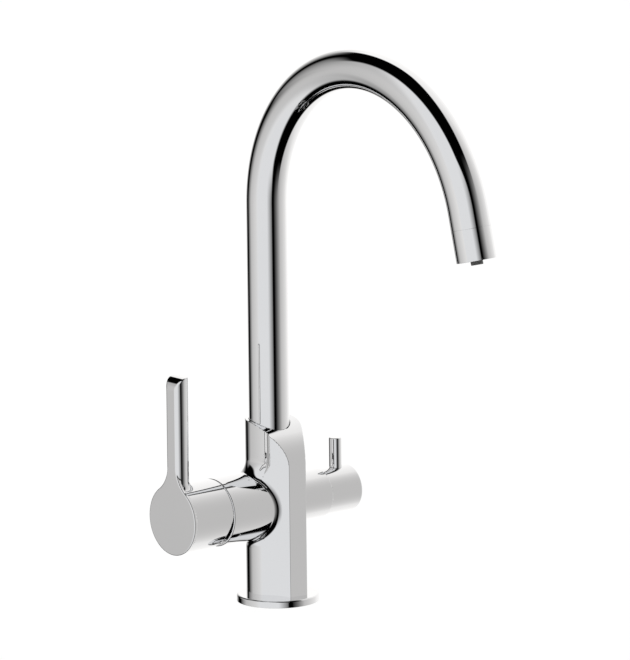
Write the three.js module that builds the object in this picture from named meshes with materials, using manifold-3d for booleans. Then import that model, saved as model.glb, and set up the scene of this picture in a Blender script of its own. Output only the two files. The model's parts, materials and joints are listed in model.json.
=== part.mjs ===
// Three way filtered water tap: a kitchen mixer with a tall swivel spout, a single mixing lever on one
// side of the body and a quarter-turn knob for filtered water on the other.
// Millimetres, +Z up. The origin is the centre of the flange's underside, where the tap meets the
// worktop. The spout points along -Y, the mixing lever is on the -X side and the filter knob on +X.
import * as THREE from 'three';
import Module from 'manifold-3d';
import { mergeVertices } from 'three/addons/utils/BufferGeometryUtils.js';

const wasm = await Module();
wasm.setup();

// ---------------------------------------------------------------- driving dimensions
const CLEAR = 0.3; // gap between neighbouring pieces
const OVER = 1; // how far a cutting tool passes the faces that it cuts

const FLANGE = { radius: 26, thickness: 4.4, hole: 16.3, edge: 0.7 };
const BASE_SEAL = { inner: 21, outer: 24, thickness: 1.5 };

// The riser of the spout stands behind the centre of the flange.
const RISER_Y = 6.6;

// Plan of the column: a round back, two flat sides that close in towards a blunt nose.
const COLUMN = {
  backRadius: 18,
  backY: 2.8,
  sideAngle: 31.3 * Math.PI / 180, // turn of each flat side's normal from X towards the nose
  noseY: -20.6,
  corner: 0.5,
  shoulderZ: 80, // on the mixing side the column draws in from here up to the neck
  shoulderRise: 16,
  blockBackY: -6.6, // the flat sides stand clear of the neck in front of this line
};

// The top of the casting is an arc of an ellipse, seen from the side, that falls towards the nose.
const CROWN = { crestY: 14.6, baseZ: 88.5, rise: 27.3, endAngle: 0.28 * Math.PI };

const MIXER = {
  axisZ: 62,
  barrelRadius: 21.6,
  barrelEnd: 47, // distances along the mixing axis are measured outwards from the riser's axis
  domeStart: 4,
  domeTip: -12,
  rim: 0.5,
  fillet: 6,
  filletSpan: 0.78, // share of the meeting line of neck and barrel that the fillet runs along
  filletRoot: 1.5, // how far the fillet's body reaches into the neck
  filletSink: 3, // and into the barrel
  boreRadius: 17.9,
  boreFloor: 9,
};
const FILTER = {
  bossRadius: 15.3,
  bossEnd: 38.7,
  boreRadius: 9.5,
  boreFloor: 14,
};

const SPIGOT_RADIUS = FLANGE.hole - CLEAR;
const HOSE_PORTS = [
  { x: -8.4, y: 2.2 },
  { x: 8.4, y: 2.2 },
  { x: 0, y: -9.4 },
];
const HOSE_PORT = { radius: 4.6, depth: 14 };
const STUD_HOLE = { x: 0, y: 10.8, radius: 3.6, depth: 16 };

const SPOUT = {
  radius: 12.75,
  wall: 1.75,
  archRadius: 100,
  archCentreZ: 253.6,
  bend: 165.5 * Math.PI / 180,
  straightEnd: 30.6,
  sleeveLength: 20.4,
};
// The neck is a round wall about the socket of the spout, with a flatter flank ahead on the mixing side.
const NECK = { wall: 2.25, flankRadius: 40 };
const SOCKET_RADIUS = SPOUT.radius + CLEAR;
const NECK_RADIUS = SOCKET_RADIUS + NECK.wall;
const SOCKET = { floorZ: 86.3, rebateWall: 1.4, rebateZ: 104 };
const SPOUT_END = {
  bodyTopZ: 99.4,
  spigotTopZ: 108,
  bore: 7,
  sealZ: [89.6, 93.6],
  stopZ: 97.2,
  stopHeight: 2.4,
  stopDepth: 1.7,
};
const SPOUT_SEAL = { section: 0.8 };
const SLIP_RING = { height: 4.4 };
const STOP_SCREW = { radius: 2, socket: 0.9, socketDepth: 1, depth: 0.5 };

const LINER = { radius: 3, wall: 0.8, bottomZ: 80.5, wellRadius: 4.6, wellDepth: 7 };
const LINER_SEAL = { section: 0.6, z: 83.5 };

const SLEEVE = { spigotLength: 7, spigotBore: 9.2, chamber: 11.2, chamberDepth: 11.4, edge: 0.4 };
const AERATOR = { height: 8.6, recess: 0.5, slots: 16, slotWidth: 1.1, slotInner: 5.4, slotOuter: 9.4 };
const AERATOR_SEAL = { inner: 9.5, height: 1.4 };
const NOZZLE = { radius: 3.9, bore: 2.2, proud: 2.6, flange: 5, flangeHeight: 1.4, tail: 6, edge: 0.3 };

// Cartridge of the mixing lever, as a stack along the mixing axis.
const CARTRIDGE = {
  radius: 17.2,
  baseHeight: 3.7,
  sealInner: 14,
  sealOuter: 16.5,
  sealHeight: 1.3,
  fixedDisc: { radius: 12.5, height: 3.7 },
  movingDisc: { radius: 8.8, height: 3.4, pocket: 5.4, pocketDepth: 1.2 },
  driver: { radius: 9.2, height: 6.4, socket: 3.4, floor: 1.2 },
  chamber: 13.4,
  lipBore: 12.2,
  housingEnd: 35.5,
  lipThickness: 2.5,
};
const PORTS = { spread: 7, radius: 2.6 };
const CARRIER = {
  neckRadius: 11.8,
  flangeRadius: 13,
  start: 28.5,
  end: 44.5,
  slotWidth: 7.6,
  slotHeight: 12.4,
};
const TILT = { pivot: 37, travel: 15 * Math.PI / 180, margin: 1 * Math.PI / 180, pin: 1.5, pinInset: 0.6 };
const SPINDLE = { width: 7, ball: 3, neck: 1.9, squareStart: 31, end: 60 };
const NUT = { outer: 17.6, height: 6.2, notches: 4, notchWidth: 4, notchDepth: 2 };
const SHROUD = { sphere: 20, end: 50, bore: 13.6, seat: 0.6 };

const LEVER = {
  hubRadius: 21.6,
  hubStart: 47.5,
  faceAt: 80,
  faceRadius: 22.5,
  faceThickness: 2.4,
  wall: 2.6,
  endWall: 8,
  boss: 8,
  bossStart: 50,
  stemAt: 74.35,
  stemRadius: 6.9,
  stemTop: 91.3, // above the mixing axis
  stemEdge: 0.6,
  topRound: 8,
  blend: 20, // concave curve that leads from the round face into the flat of the stem
  footRadius: 12.4,
  footHeight: 7,
  footSink: 1.5,
  footEdge: 2,
  rim: 0.4,
  faceStep: 0.5,
};
const LEVER_SCREW = { radius: 2, length: 4.4, at: 56.5, access: 2.6, socket: 1 };

// Head of the filter valve, as a stack along the filter axis.
const VALVE = {
  bodyRadius: 9.2,
  chamber: 7.9,
  chamberDepth: 9.8,
  hexRadius: 10.9,
  hexStart: 39,
  hexHeight: 4,
  neckRadius: 6.2,
  neckEnd: 47.6,
  spindle: 4,
  spindleEnd: 57,
  flatDepth: 1,
  sealAt: 31,
  sealSection: 0.7,
};
const VALVE_SEAL = { inner: 5.2, height: 0.9 };
const VALVE_DISC = { fixedHeight: 2.4, movingHeight: 2.4, port: 2.3, portAt: 4.2 };

const KNOB = {
  radius: 14.4,
  start: 39,
  end: 63.8,
  wall: 1.9,
  endWall: 4.5,
  boss: 7,
  bossStart: 49,
  lip: 0.4,
  edge: 0.8,
};
const PIN = { at: 53.6, radius: 4, top: 33.3, sink: 2, foot: 2.4, footDepth: 3.2, edge: 0.7 };
const GRUB = { cone: 0.5, socketFrom: 0.45 }; // shares of a grub screw's radius and length
const KNOB_SCREW = { radius: 1.5, length: 2.8, access: 1.9, socket: 0.8 };

// Number of sides of round forms, by how large they are.
const SIDES = { large: 32, middle: 20, small: 12 };

// ---------------------------------------------------------------- solids
const PIECES = {
  chrome: { color: 0xd9dadc, metalness: 1, roughness: 0.06 },
  brass: { color: 0xb5913f, metalness: 1, roughness: 0.35 },
  steel: { color: 0x8d9094, metalness: 1, roughness: 0.3 },
  rubber: { color: 0x1c1c1e, metalness: 0, roughness: 0.7 },
  ceramic: { color: 0xece9e2, metalness: 0, roughness: 0.25 },
  acetal: { color: 0xe8e8e6, metalness: 0, roughness: 0.45 },
  greyPlastic: { color: 0x6d6f70, metalness: 0, roughness: 0.5 },
};

/** Closed manifold solid from a closed geometry, with its faces turned outwards. */
function solid(geometry) {
  const bare = geometry.clone();
  bare.deleteAttribute('normal');
  bare.deleteAttribute('uv');
  const merged = mergeVertices(bare, 1e-4);
  const source = merged.index.array;
  const position = merged.attributes.position;
  const kept = [];
  for (let i = 0; i < source.length; i += 3) {
    const [a, b, c] = [source[i], source[i + 1], source[i + 2]];
    if (a !== b && b !== c && c !== a) kept.push(a, b, c);
  }
  const corner = [new THREE.Vector3(), new THREE.Vector3(), new THREE.Vector3()];
  let volume = 0;
  for (let i = 0; i < kept.length; i += 3) {
    corner.forEach((v, k) => v.fromBufferAttribute(position, kept[i + k]));
    volume += corner[0].dot(corner[1].clone().cross(corner[2]));
  }
  const triVerts = new Uint32Array(kept);
  if (volume < 0) triVerts.reverse();
  const vertProperties = new Float32Array(position.array);
  return new wasm.Manifold(new wasm.Mesh({ numProp: 3, vertProperties, triVerts }));
}

/** Geometry of a manifold solid. */
function geometryOf(manifold) {
  const { vertProperties, triVerts } = manifold.getMesh();
  const geometry = new THREE.BufferGeometry();
  geometry.setAttribute('position', new THREE.BufferAttribute(new Float32Array(vertProperties), 3));
  geometry.setIndex(new THREE.BufferAttribute(new Uint32Array(triVerts), 1));
  return geometry;
}

const join = (...solids) => solids.reduce((sum, next) => sum.add(next));
const cut = (body, ...tools) => tools.reduce((rest, tool) => rest.subtract(tool), body);

/** Solid of revolution about +Z from [radius, height] pairs that end on the axis or close on themselves. */
function turned(profile, sides = SIDES.middle) {
  const points = profile.map(([r, z]) => new THREE.Vector2(Math.max(r, 0), z));
  return solid(new THREE.LatheGeometry(points, sides).rotateX(Math.PI / 2));
}

/** Closed ring profile between two radii. */
function ringProfile(inner, outer, low, high) {
  return [[inner, low], [outer, low], [outer, high], [inner, high], [inner, low]];
}

const rod = (radius, low, high, sides) => turned([[0, low], [radius, low], [radius, high], [0, high]], sides);
const ring = (inner, outer, low, high, sides) => turned(ringProfile(inner, outer, low, high), sides);

/** Round seal: a torus about +Z. */
function roundSeal(radius, section, z, sides = SIDES.middle) {
  const steps = 6;
  const turns = Array.from({ length: steps + 1 }, (_, i) => (i / steps) * 2 * Math.PI);
  return turned(turns.map((a) => [radius + section * Math.cos(a), z + section * Math.sin(a)]), sides);
}

/** Solid moved by a matrix that a maker function sets up. */
function placed(manifold, { x = 0, y = 0, z = 0, turnX = 0, turnY = 0, turnZ = 0 }) {
  const matrix = new THREE.Matrix4().makeRotationFromEuler(new THREE.Euler(turnX, turnY, turnZ));
  matrix.setPosition(x, y, z);
  return solid(geometryOf(manifold).applyMatrix4(matrix));
}

/** Copies of a solid, spaced evenly about +Z. */
function around(manifold, count) {
  return Array.from({ length: count }, (_, i) => placed(manifold, { turnZ: (2 * Math.PI * i) / count }));
}

/** Points of an arc, from one angle to another. */
function arcPoints(cx, cy, radius, from, to, steps) {
  return Array.from({ length: steps + 1 }, (_, i) => {
    const a = from + ((to - from) * i) / steps;
    return new THREE.Vector2(cx + radius * Math.cos(a), cy + radius * Math.sin(a));
  });
}

/** Outline with every corner that has a radius rounded; corners are { x, y, round }. */
function roundedOutline(corners, steps = 4) {
  const points = [];
  corners.forEach((corner, i) => {
    const here = new THREE.Vector2(corner.x, corner.y);
    if (!corner.round) {
      points.push(here);
      return;
    }
    const before = corners[(i + corners.length - 1) % corners.length];
    const after = corners[(i + 1) % corners.length];
    const back = new THREE.Vector2(before.x, before.y).sub(here).normalize();
    const ahead = new THREE.Vector2(after.x, after.y).sub(here).normalize();
    const half = Math.acos(back.dot(ahead)) / 2;
    const start = here.clone().addScaledVector(back, corner.round / Math.tan(half));
    const end = here.clone().addScaledVector(ahead, corner.round / Math.tan(half));
    const inwards = back.clone().add(ahead).normalize();
    const centre = here.clone().addScaledVector(inwards, corner.round / Math.sin(half));
    const from = Math.atan2(start.y - centre.y, start.x - centre.x);
    let sweep = Math.atan2(end.y - centre.y, end.x - centre.x) - from;
    if (sweep > Math.PI) sweep -= 2 * Math.PI;
    if (sweep < -Math.PI) sweep += 2 * Math.PI;
    points.push(...arcPoints(centre.x, centre.y, corner.round, from, from + sweep, steps));
  });
  return points;
}

/** Prism along +Z from an outline. */
function prism(points, low, high) {
  const shape = new THREE.Shape(points);
  const geometry = new THREE.ExtrudeGeometry(shape, { depth: high - low, bevelEnabled: false });
  return solid(geometry.translate(0, 0, low));
}

/** Box centred on a point. */
function block(width, depth, height, { x = 0, y = 0, z = 0 } = {}) {
  return solid(new THREE.BoxGeometry(width, depth, height).translate(x, y, z));
}

/** Local mixer frame (outwards is +Z, up is +X) carried to the -X side of the tap. */
const onMixerSide = (manifold) => placed(manifold, { y: RISER_Y, z: MIXER.axisZ, turnY: -Math.PI / 2 });

/** Local filter frame (outwards is +Z, up is -X) carried to the +X side of the tap. */
const onFilterSide = (manifold) => placed(manifold, { y: RISER_Y, z: MIXER.axisZ, turnY: Math.PI / 2 });

// ---------------------------------------------------------------- base
function baseFlange() {
  const { radius, thickness, hole, edge } = FLANGE;
  const profile = [
    [hole, 0], [radius, 0], [radius, thickness - edge], [radius - edge, thickness],
    [hole, thickness], [hole, 0],
  ];
  const groove = ring(
    BASE_SEAL.inner - CLEAR, BASE_SEAL.outer + CLEAR, -OVER, BASE_SEAL.thickness + CLEAR, SIDES.large,
  );
  return cut(turned(profile, SIDES.large), groove);
}

const baseSeal = () => ring(BASE_SEAL.inner, BASE_SEAL.outer, 0, BASE_SEAL.thickness, SIDES.large);

// ---------------------------------------------------------------- body casting
/** Where a flat side leaves the round back, and where it meets the nose. */
function sideEnds() {
  const { backRadius, backY, sideAngle, noseY } = COLUMN;
  const tangent = { x: backRadius * Math.cos(sideAngle), y: backY - backRadius * Math.sin(sideAngle) };
  const nose = { x: tangent.x - (tangent.y - noseY) * Math.tan(sideAngle), y: noseY };
  return { tangent, nose };
}

/** Plan of the column. */
function columnOutline() {
  const { backRadius, backY, sideAngle, corner } = COLUMN;
  const { tangent, nose } = sideEnds();
  const front = roundedOutline([
    { x: -tangent.x, y: tangent.y },
    { x: -nose.x, y: nose.y, round: corner },
    { ...nose, round: corner },
    tangent,
  ]);
  const back = arcPoints(0, backY, backRadius, -sideAngle, Math.PI + sideAngle, 26).slice(1, -1);
  return [...front, ...back];
}

/** Plan of the wedge that stands in front of the neck. */
function wedgeOutline() {
  const { sideAngle, blockBackY, corner } = COLUMN;
  const { tangent, nose } = sideEnds();
  const backX = tangent.x + (blockBackY - tangent.y) * Math.tan(sideAngle);
  return roundedOutline([
    { x: -backX, y: blockBackY, round: corner },
    { ...nose, x: -nose.x, round: corner },
    { ...nose, round: corner },
    { x: backX, y: blockBackY, round: corner },
  ]);
}

/** Shoulder on the mixing side: the column draws in to the round neck. */
function shoulder() {
  const { shoulderZ, shoulderRise } = COLUMN;
  const foot = prism(columnOutline(), shoulderZ - OVER, shoulderZ);
  const head = placed(rod(NECK_RADIUS, -OVER, 0, SIDES.large), { y: RISER_Y, z: shoulderZ + shoulderRise });
  return join(foot, head).hull();
}

/** Flank of the neck on the mixing side: an arc from the neck's side to behind the wedge. */
function neckFlank(low, high) {
  const { flankRadius } = NECK;
  const centreX = flankRadius - NECK_RADIUS;
  const front = RISER_Y - COLUMN.blockBackY + OVER;
  const arc = arcPoints(centreX, RISER_Y, flankRadius, Math.PI, Math.PI + Math.asin(front / flankRadius), 6);
  return prism([new THREE.Vector2(0, RISER_Y), ...arc, new THREE.Vector2(0, RISER_Y - front)], low, high);
}

/** Cheek on the filter side: there the column's plan goes on up to the crown. */
function cheek(low, high) {
  const wide = 2 * COLUMN.backRadius;
  const half = block(wide, 2 * wide, high - low + 2 * OVER, { x: wide / 2, z: (low + high) / 2 });
  return prism(columnOutline(), low, high).intersect(half);
}

/** Everything below the sloping crown, as a prism across the tap. */
function underCrown() {
  const reach = CROWN.crestY - COLUMN.noseY;
  const wide = 2 * MIXER.barrelEnd;
  const arc = arcPoints(0, 0, 1, Math.PI, CROWN.endAngle, 14)
    .map((p) => new THREE.Vector2(CROWN.crestY + reach * p.x, CROWN.baseZ + CROWN.rise * p.y));
  const behind = new THREE.Vector2(arc[arc.length - 1].x, 0);
  const slab = prism([...arc, behind, new THREE.Vector2(COLUMN.noseY, 0)], -wide, wide);
  // The outline lies in the YZ plane: local X becomes Y and local Y becomes Z.
  const matrix = new THREE.Matrix4().makeBasis(
    new THREE.Vector3(0, 1, 0), new THREE.Vector3(0, 0, 1), new THREE.Vector3(1, 0, 0),
  );
  return solid(geometryOf(slab).applyMatrix4(matrix));
}

/** Barrel of the mixing side: a cylinder that ends in a low dome inside the column. */
function barrel() {
  const { barrelRadius, barrelEnd, domeStart, domeTip, rim } = MIXER;
  const steps = 6;
  const dome = Array.from({ length: steps + 1 }, (_, i) => {
    const a = (Math.PI / 2) * (i / steps);
    return [barrelRadius * Math.sin(a), domeStart - (domeStart - domeTip) * Math.cos(a)];
  });
  return turned([
    ...dome, [barrelRadius, barrelEnd - rim], [barrelRadius - rim, barrelEnd], [0, barrelEnd],
  ], SIDES.large);
}

/** Concave fillet between the neck and the top of the barrel, swept round the curve where they meet. */
function barrelFillet() {
  const { barrelRadius, fillet, filletSpan, filletRoot, filletSink, axisZ } = MIXER;
  const across = 6;
  const along = 18;
  const inner = NECK_RADIUS - filletRoot;
  const outer = NECK_RADIUS + fillet;
  const reach = filletSpan * Math.asin(Math.min(1, barrelRadius / outer));
  const barrelTop = (side) => axisZ + Math.sqrt(Math.max(barrelRadius ** 2 - side ** 2, 0));
  const rows = Array.from({ length: along + 1 }, (_, i) => {
    const turn = -reach + (2 * reach * i) / along;
    const at = (radius, above) => new THREE.Vector3(
      -radius * Math.cos(turn), RISER_Y + radius * Math.sin(turn), barrelTop(radius * Math.sin(turn)) + above,
    );
    const root = at(inner, -filletSink);
    const upper = at(NECK_RADIUS, fillet);
    const corner = at(NECK_RADIUS, 0);
    const lower = at(outer, 0);
    const back = upper.clone().add(new THREE.Vector3(
      filletRoot * Math.cos(turn), -filletRoot * Math.sin(turn), 0,
    ));
    const curve = new THREE.QuadraticBezierCurve3(upper, corner, lower);
    const sunk = lower.clone().add(new THREE.Vector3(0, 0, -filletSink));
    return [back, ...curve.getPoints(across), sunk, root];
  });
  const ringLength = rows[0].length;
  const index = [];
  for (let i = 0; i < along; i += 1) {
    for (let j = 0; j < ringLength; j += 1) {
      const k = (j + 1) % ringLength;
      const near = i * ringLength;
      const far = near + ringLength;
      index.push(near + j, near + k, far + k, near + j, far + k, far + j);
    }
  }
  const outline = (row, flip) => {
    // Each end is a fan from its last point, which sees the whole concave outline.
    const start = row * ringLength;
    for (let j = 0; j < ringLength - 2; j += 1) {
      const triangle = [start + ringLength - 1, start + j, start + j + 1];
      index.push(...(flip ? triangle.reverse() : triangle));
    }
  };
  outline(0, true);
  outline(along, false);
  const geometry = new THREE.BufferGeometry().setFromPoints(rows.flat());
  geometry.setIndex(index);
  return solid(geometry);
}

function bodyCasting() {
  const { shoulderZ } = COLUMN;
  const underside = FLANGE.thickness + CLEAR;
  const column = prism(columnOutline(), underside, shoulderZ);
  const crest = CROWN.baseZ + CROWN.rise + OVER;
  const wedge = prism(wedgeOutline(), underside + OVER, crest);
  const neck = placed(rod(NECK_RADIUS, MIXER.axisZ, crest, SIDES.large), { y: RISER_Y });
  const upper = join(shoulder(), wedge, neck, neckFlank(MIXER.axisZ, crest), cheek(shoulderZ - OVER, crest));
  const top = join(column, upper).intersect(underCrown());
  const spigot = rod(SPIGOT_RADIUS, 0, underside + OVER, SIDES.large);
  const outside = join(
    top, spigot, onMixerSide(barrel()), barrelFillet(),
    onFilterSide(rod(FILTER.bossRadius, 0, FILTER.bossEnd, SIDES.middle)),
  );

  const socket = placed(join(
    rod(SOCKET_RADIUS, SOCKET.floorZ, crest + OVER, SIDES.large),
    rod(NECK_RADIUS - SOCKET.rebateWall, SOCKET.rebateZ, crest + OVER, SIDES.large),
    rod(LINER.wellRadius, SOCKET.floorZ - LINER.wellDepth, SOCKET.floorZ + OVER, SIDES.small),
  ), { y: RISER_Y });
  const stopHole = placed(rod(
    STOP_SCREW.radius + CLEAR, SOCKET_RADIUS - OVER, NECK_RADIUS + OVER, SIDES.small,
  ), { y: RISER_Y, z: SPOUT_END.stopZ, turnX: -Math.PI / 2 });
  const ports = HOSE_PORTS
    .map((at) => placed(rod(HOSE_PORT.radius, -OVER, HOSE_PORT.depth, SIDES.small), at));
  const stud = placed(rod(STUD_HOLE.radius, -OVER, STUD_HOLE.depth, SIDES.small), {
    x: STUD_HOLE.x, y: STUD_HOLE.y,
  });
  return cut(
    outside, socket, stopHole, stud, ...ports,
    onMixerSide(rod(MIXER.boreRadius, MIXER.boreFloor, MIXER.barrelEnd + OVER, SIDES.large)),
    onFilterSide(rod(FILTER.boreRadius, FILTER.boreFloor, FILTER.bossEnd + OVER, SIDES.middle)),
  );
}

// ---------------------------------------------------------------- spout
/** Centre line of the spout, in the plane x = 0 and measured from the riser's axis. */
class SpoutLine extends THREE.Curve {
  constructor(startZ, endLength) {
    super();
    this.startZ = startZ;
    this.riser = SPOUT.archCentreZ - startZ;
    this.arch = SPOUT.archRadius * SPOUT.bend;
    this.endLength = endLength;
  }

  getPoint(t, target = new THREE.Vector3()) {
    const { archRadius, archCentreZ, bend } = SPOUT;
    const run = t * (this.riser + this.arch + this.endLength);
    if (run <= this.riser) return target.set(0, 0, this.startZ + run);
    const angle = Math.min((run - this.riser) / archRadius, bend);
    const rest = Math.max(run - this.riser - this.arch, 0);
    const y = -archRadius * (1 - Math.cos(angle)) - rest * Math.sin(bend);
    const z = archCentreZ + archRadius * Math.sin(angle) + rest * Math.cos(bend);
    return target.set(0, y, z);
  }
}

/** Hollow tube along a line. */
function pipe(line, outer, inner, outerSides, innerSides, steps) {
  const circle = (radius, sides) => arcPoints(0, 0, radius, 0, 2 * Math.PI, sides).slice(0, -1);
  const shape = new THREE.Shape(circle(outer, outerSides));
  if (inner > 0) shape.holes.push(new THREE.Path(circle(inner, innerSides)));
  return solid(new THREE.ExtrudeGeometry(shape, { steps, extrudePath: line, bevelEnabled: false }));
}

const spoutBore = SPOUT.radius - SPOUT.wall;

function spoutTube() {
  const line = new SpoutLine(SPOUT_END.bodyTopZ + CLEAR, SPOUT.straightEnd - SPOUT.sleeveLength - CLEAR);
  return pipe(line, SPOUT.radius, spoutBore, 22, 16, 36);
}

/** Turned end of the spout: it runs in the body's socket and plugs into the tube. */
function spoutEndFitting() {
  const { bodyTopZ, spigotTopZ, bore, sealZ, stopZ, stopHeight, stopDepth } = SPOUT_END;
  const low = SOCKET.floorZ + CLEAR;
  const body = ring(bore, SPOUT.radius, low, bodyTopZ);
  const spigot = ring(bore, spoutBore - CLEAR, low, spigotTopZ);
  const grooveHalf = SPOUT_SEAL.section + CLEAR;
  const grooves = sealZ.map((z) => ring(
    SPOUT.radius - 2 * SPOUT_SEAL.section - CLEAR, SPOUT.radius + OVER, z - grooveHalf, z + grooveHalf,
  ));
  const stop = ring(
    SPOUT.radius - stopDepth, SPOUT.radius + OVER, stopZ - stopHeight / 2, stopZ + stopHeight / 2,
  );
  return cut(join(body, spigot), ...grooves, stop);
}

const spoutSeal = (z) => roundSeal(SPOUT.radius - SPOUT_SEAL.section, SPOUT_SEAL.section, z);

function slipRing() {
  const low = SOCKET.rebateZ + CLEAR;
  const outer = NECK_RADIUS - SOCKET.rebateWall - CLEAR;
  return ring(SOCKET_RADIUS, outer, low, low + SLIP_RING.height);
}

/** Screw from behind whose tip runs in the groove of the spout's end, and so keeps the spout down. */
function stopScrew() {
  const tip = SPOUT.radius - SPOUT_END.stopDepth + CLEAR;
  const head = NECK_RADIUS - STOP_SCREW.depth;
  const point = SPOUT_END.stopHeight / 2 - CLEAR;
  const thread = SOCKET_RADIUS;
  const screw = turned([
    [0, tip], [point, tip], [point, thread], [STOP_SCREW.radius, thread],
    [STOP_SCREW.radius, head], [0, head],
  ], SIDES.small);
  const key = prism(hexagon(STOP_SCREW.socket), head - STOP_SCREW.socketDepth, head + OVER);
  return cut(screw, key);
}

const hexagon = (radius) => arcPoints(0, 0, radius, 0, 2 * Math.PI, 6).slice(0, -1);

function filterLiner() {
  const end = SPOUT.straightEnd - SPOUT.sleeveLength;
  return pipe(new SpoutLine(LINER.bottomZ, end), LINER.radius, LINER.radius - LINER.wall, 6, 5, 24);
}

const linerSeal = () => roundSeal(
  LINER.radius + CLEAR + LINER_SEAL.section, LINER_SEAL.section, LINER_SEAL.z, SIDES.small,
);

// Pieces of the outlet lie in a frame at the end of the arch, with +Z along the flow.
const SLEEVE_START = SPOUT.straightEnd - SPOUT.sleeveLength;
const CHAMBER_FLOOR = SPOUT.straightEnd - SLEEVE.chamberDepth;

function outletSleeve() {
  const { spigotLength, spigotBore, chamber, edge } = SLEEVE;
  const end = SPOUT.straightEnd;
  return turned([
    [spigotBore, SLEEVE_START - spigotLength], [spoutBore - CLEAR, SLEEVE_START - spigotLength],
    [spoutBore - CLEAR, SLEEVE_START], [SPOUT.radius, SLEEVE_START],
    [SPOUT.radius, end - edge], [SPOUT.radius - edge, end], [chamber, end],
    [chamber, CHAMBER_FLOOR], [spigotBore, CHAMBER_FLOOR], [spigotBore, SLEEVE_START - spigotLength],
  ], SIDES.middle);
}

function aeratorSeal() {
  const low = CHAMBER_FLOOR + CLEAR;
  return ring(AERATOR_SEAL.inner, SLEEVE.chamber - CLEAR, low, low + AERATOR_SEAL.height);
}

const AERATOR_END = SPOUT.straightEnd - AERATOR.recess;

function aeratorInsert() {
  const { height, slots, slotWidth, slotInner, slotOuter } = AERATOR;
  const low = AERATOR_END - height;
  const body = ring(NOZZLE.radius + CLEAR, SLEEVE.chamber - CLEAR, low, AERATOR_END);
  const slot = block(slotOuter - slotInner, slotWidth, height + 2 * OVER, {
    x: (slotOuter + slotInner) / 2, z: (low + AERATOR_END) / 2,
  });
  return cut(body, ...around(slot, slots));
}

/** Tube for filtered water in the middle of the outlet. */
function filterNozzle() {
  const { radius, bore, proud, flange, flangeHeight, tail, edge } = NOZZLE;
  const end = SPOUT.straightEnd + proud;
  const flangeTop = AERATOR_END - AERATOR.height - CLEAR;
  const flangeLow = flangeTop - flangeHeight;
  const socket = LINER.radius + CLEAR;
  const tailStart = SLEEVE_START - tail;
  return turned([
    [socket, tailStart], [flange, tailStart], [flange, flangeTop], [radius, flangeTop],
    [radius, end - edge], [radius - edge, end], [bore, end], [bore, flangeLow],
    [socket, SLEEVE_START + CLEAR], [socket, tailStart],
  ], SIDES.small);
}

// ---------------------------------------------------------------- mixing cartridge
const BASE_LOW = MIXER.boreFloor + CLEAR;
const BASE_HIGH = BASE_LOW + CARTRIDGE.baseHeight;
const FIXED_LOW = BASE_HIGH + CLEAR;
const FIXED_HIGH = FIXED_LOW + CARTRIDGE.fixedDisc.height;
const MOVING_LOW = FIXED_HIGH + CLEAR;
const MOVING_HIGH = MOVING_LOW + CARTRIDGE.movingDisc.height;
const DRIVER_LOW = MOVING_HIGH + CLEAR;
const DRIVER_HIGH = DRIVER_LOW + CARTRIDGE.driver.height;
const BALL_AT = DRIVER_LOW + CARTRIDGE.driver.floor + CLEAR + SPINDLE.ball;

/** Ports through the fixed parts of the cartridge: hot, cold and mixed water. */
function portTools(low, high) {
  const port = placed(rod(PORTS.radius, low - OVER, high + OVER, SIDES.small), { x: -PORTS.spread });
  return around(port, 3);
}

function cartridgeBase() {
  const body = rod(CARTRIDGE.radius, BASE_LOW, BASE_HIGH, SIDES.middle);
  const { sealInner, sealOuter, sealHeight } = CARTRIDGE;
  const groove = ring(sealInner - CLEAR, sealOuter + CLEAR, BASE_LOW - OVER, BASE_LOW + sealHeight + CLEAR);
  return cut(body, groove, ...portTools(BASE_LOW, BASE_HIGH));
}

const cartridgeSeal = () => ring(
  CARTRIDGE.sealInner, CARTRIDGE.sealOuter, BASE_LOW, BASE_LOW + CARTRIDGE.sealHeight,
);

function fixedDisc() {
  const disc = rod(CARTRIDGE.fixedDisc.radius, FIXED_LOW, FIXED_HIGH);
  return cut(disc, ...portTools(FIXED_LOW, FIXED_HIGH));
}

/** Moving disc: a shallow pocket on the face that meets the fixed disc joins its ports. */
function movingDisc() {
  const { radius, pocket, pocketDepth } = CARTRIDGE.movingDisc;
  const hollow = rod(pocket, MOVING_LOW - OVER, MOVING_LOW + pocketDepth, SIDES.small);
  return cut(rod(radius, MOVING_LOW, MOVING_HIGH), hollow);
}

function discDriver() {
  const { radius, socket, floor } = CARTRIDGE.driver;
  const hollow = rod(socket, DRIVER_LOW + floor, DRIVER_HIGH + OVER, SIDES.small);
  return cut(rod(radius, DRIVER_LOW, DRIVER_HIGH), hollow);
}

function cartridgeHousing() {
  const { radius, chamber, lipBore, housingEnd, lipThickness } = CARTRIDGE;
  const low = BASE_HIGH + CLEAR;
  const lip = housingEnd - lipThickness;
  return turned([
    [chamber, low], [radius, low], [radius, housingEnd], [lipBore, housingEnd], [lipBore, lip],
    [chamber, lip], [chamber, low],
  ]);
}

/** Carrier: turns in the housing with the lever and holds the pivot on which the spindle tilts. */
function cartridgeCarrier() {
  const { neckRadius, flangeRadius, start, end, slotWidth, slotHeight } = CARRIER;
  const flangeTop = CARTRIDGE.housingEnd - CARTRIDGE.lipThickness - CLEAR;
  const body = turned([
    [0, start], [flangeRadius, start], [flangeRadius, flangeTop], [neckRadius, flangeTop],
    [neckRadius, end], [0, end],
  ]);
  const slot = block(slotHeight, slotWidth, 2 * end, { z: end });
  return cut(body, slot, pivotRod(TILT.pin + CLEAR, neckRadius + OVER));
}

/** Rod across the mixing axis at the pivot. */
function pivotRod(radius, half) {
  return placed(rod(radius, -half, half, SIDES.small), { z: TILT.pivot, turnX: Math.PI / 2 });
}

const pivotPin = () => pivotRod(TILT.pin, CARRIER.neckRadius - TILT.pinInset);

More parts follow.
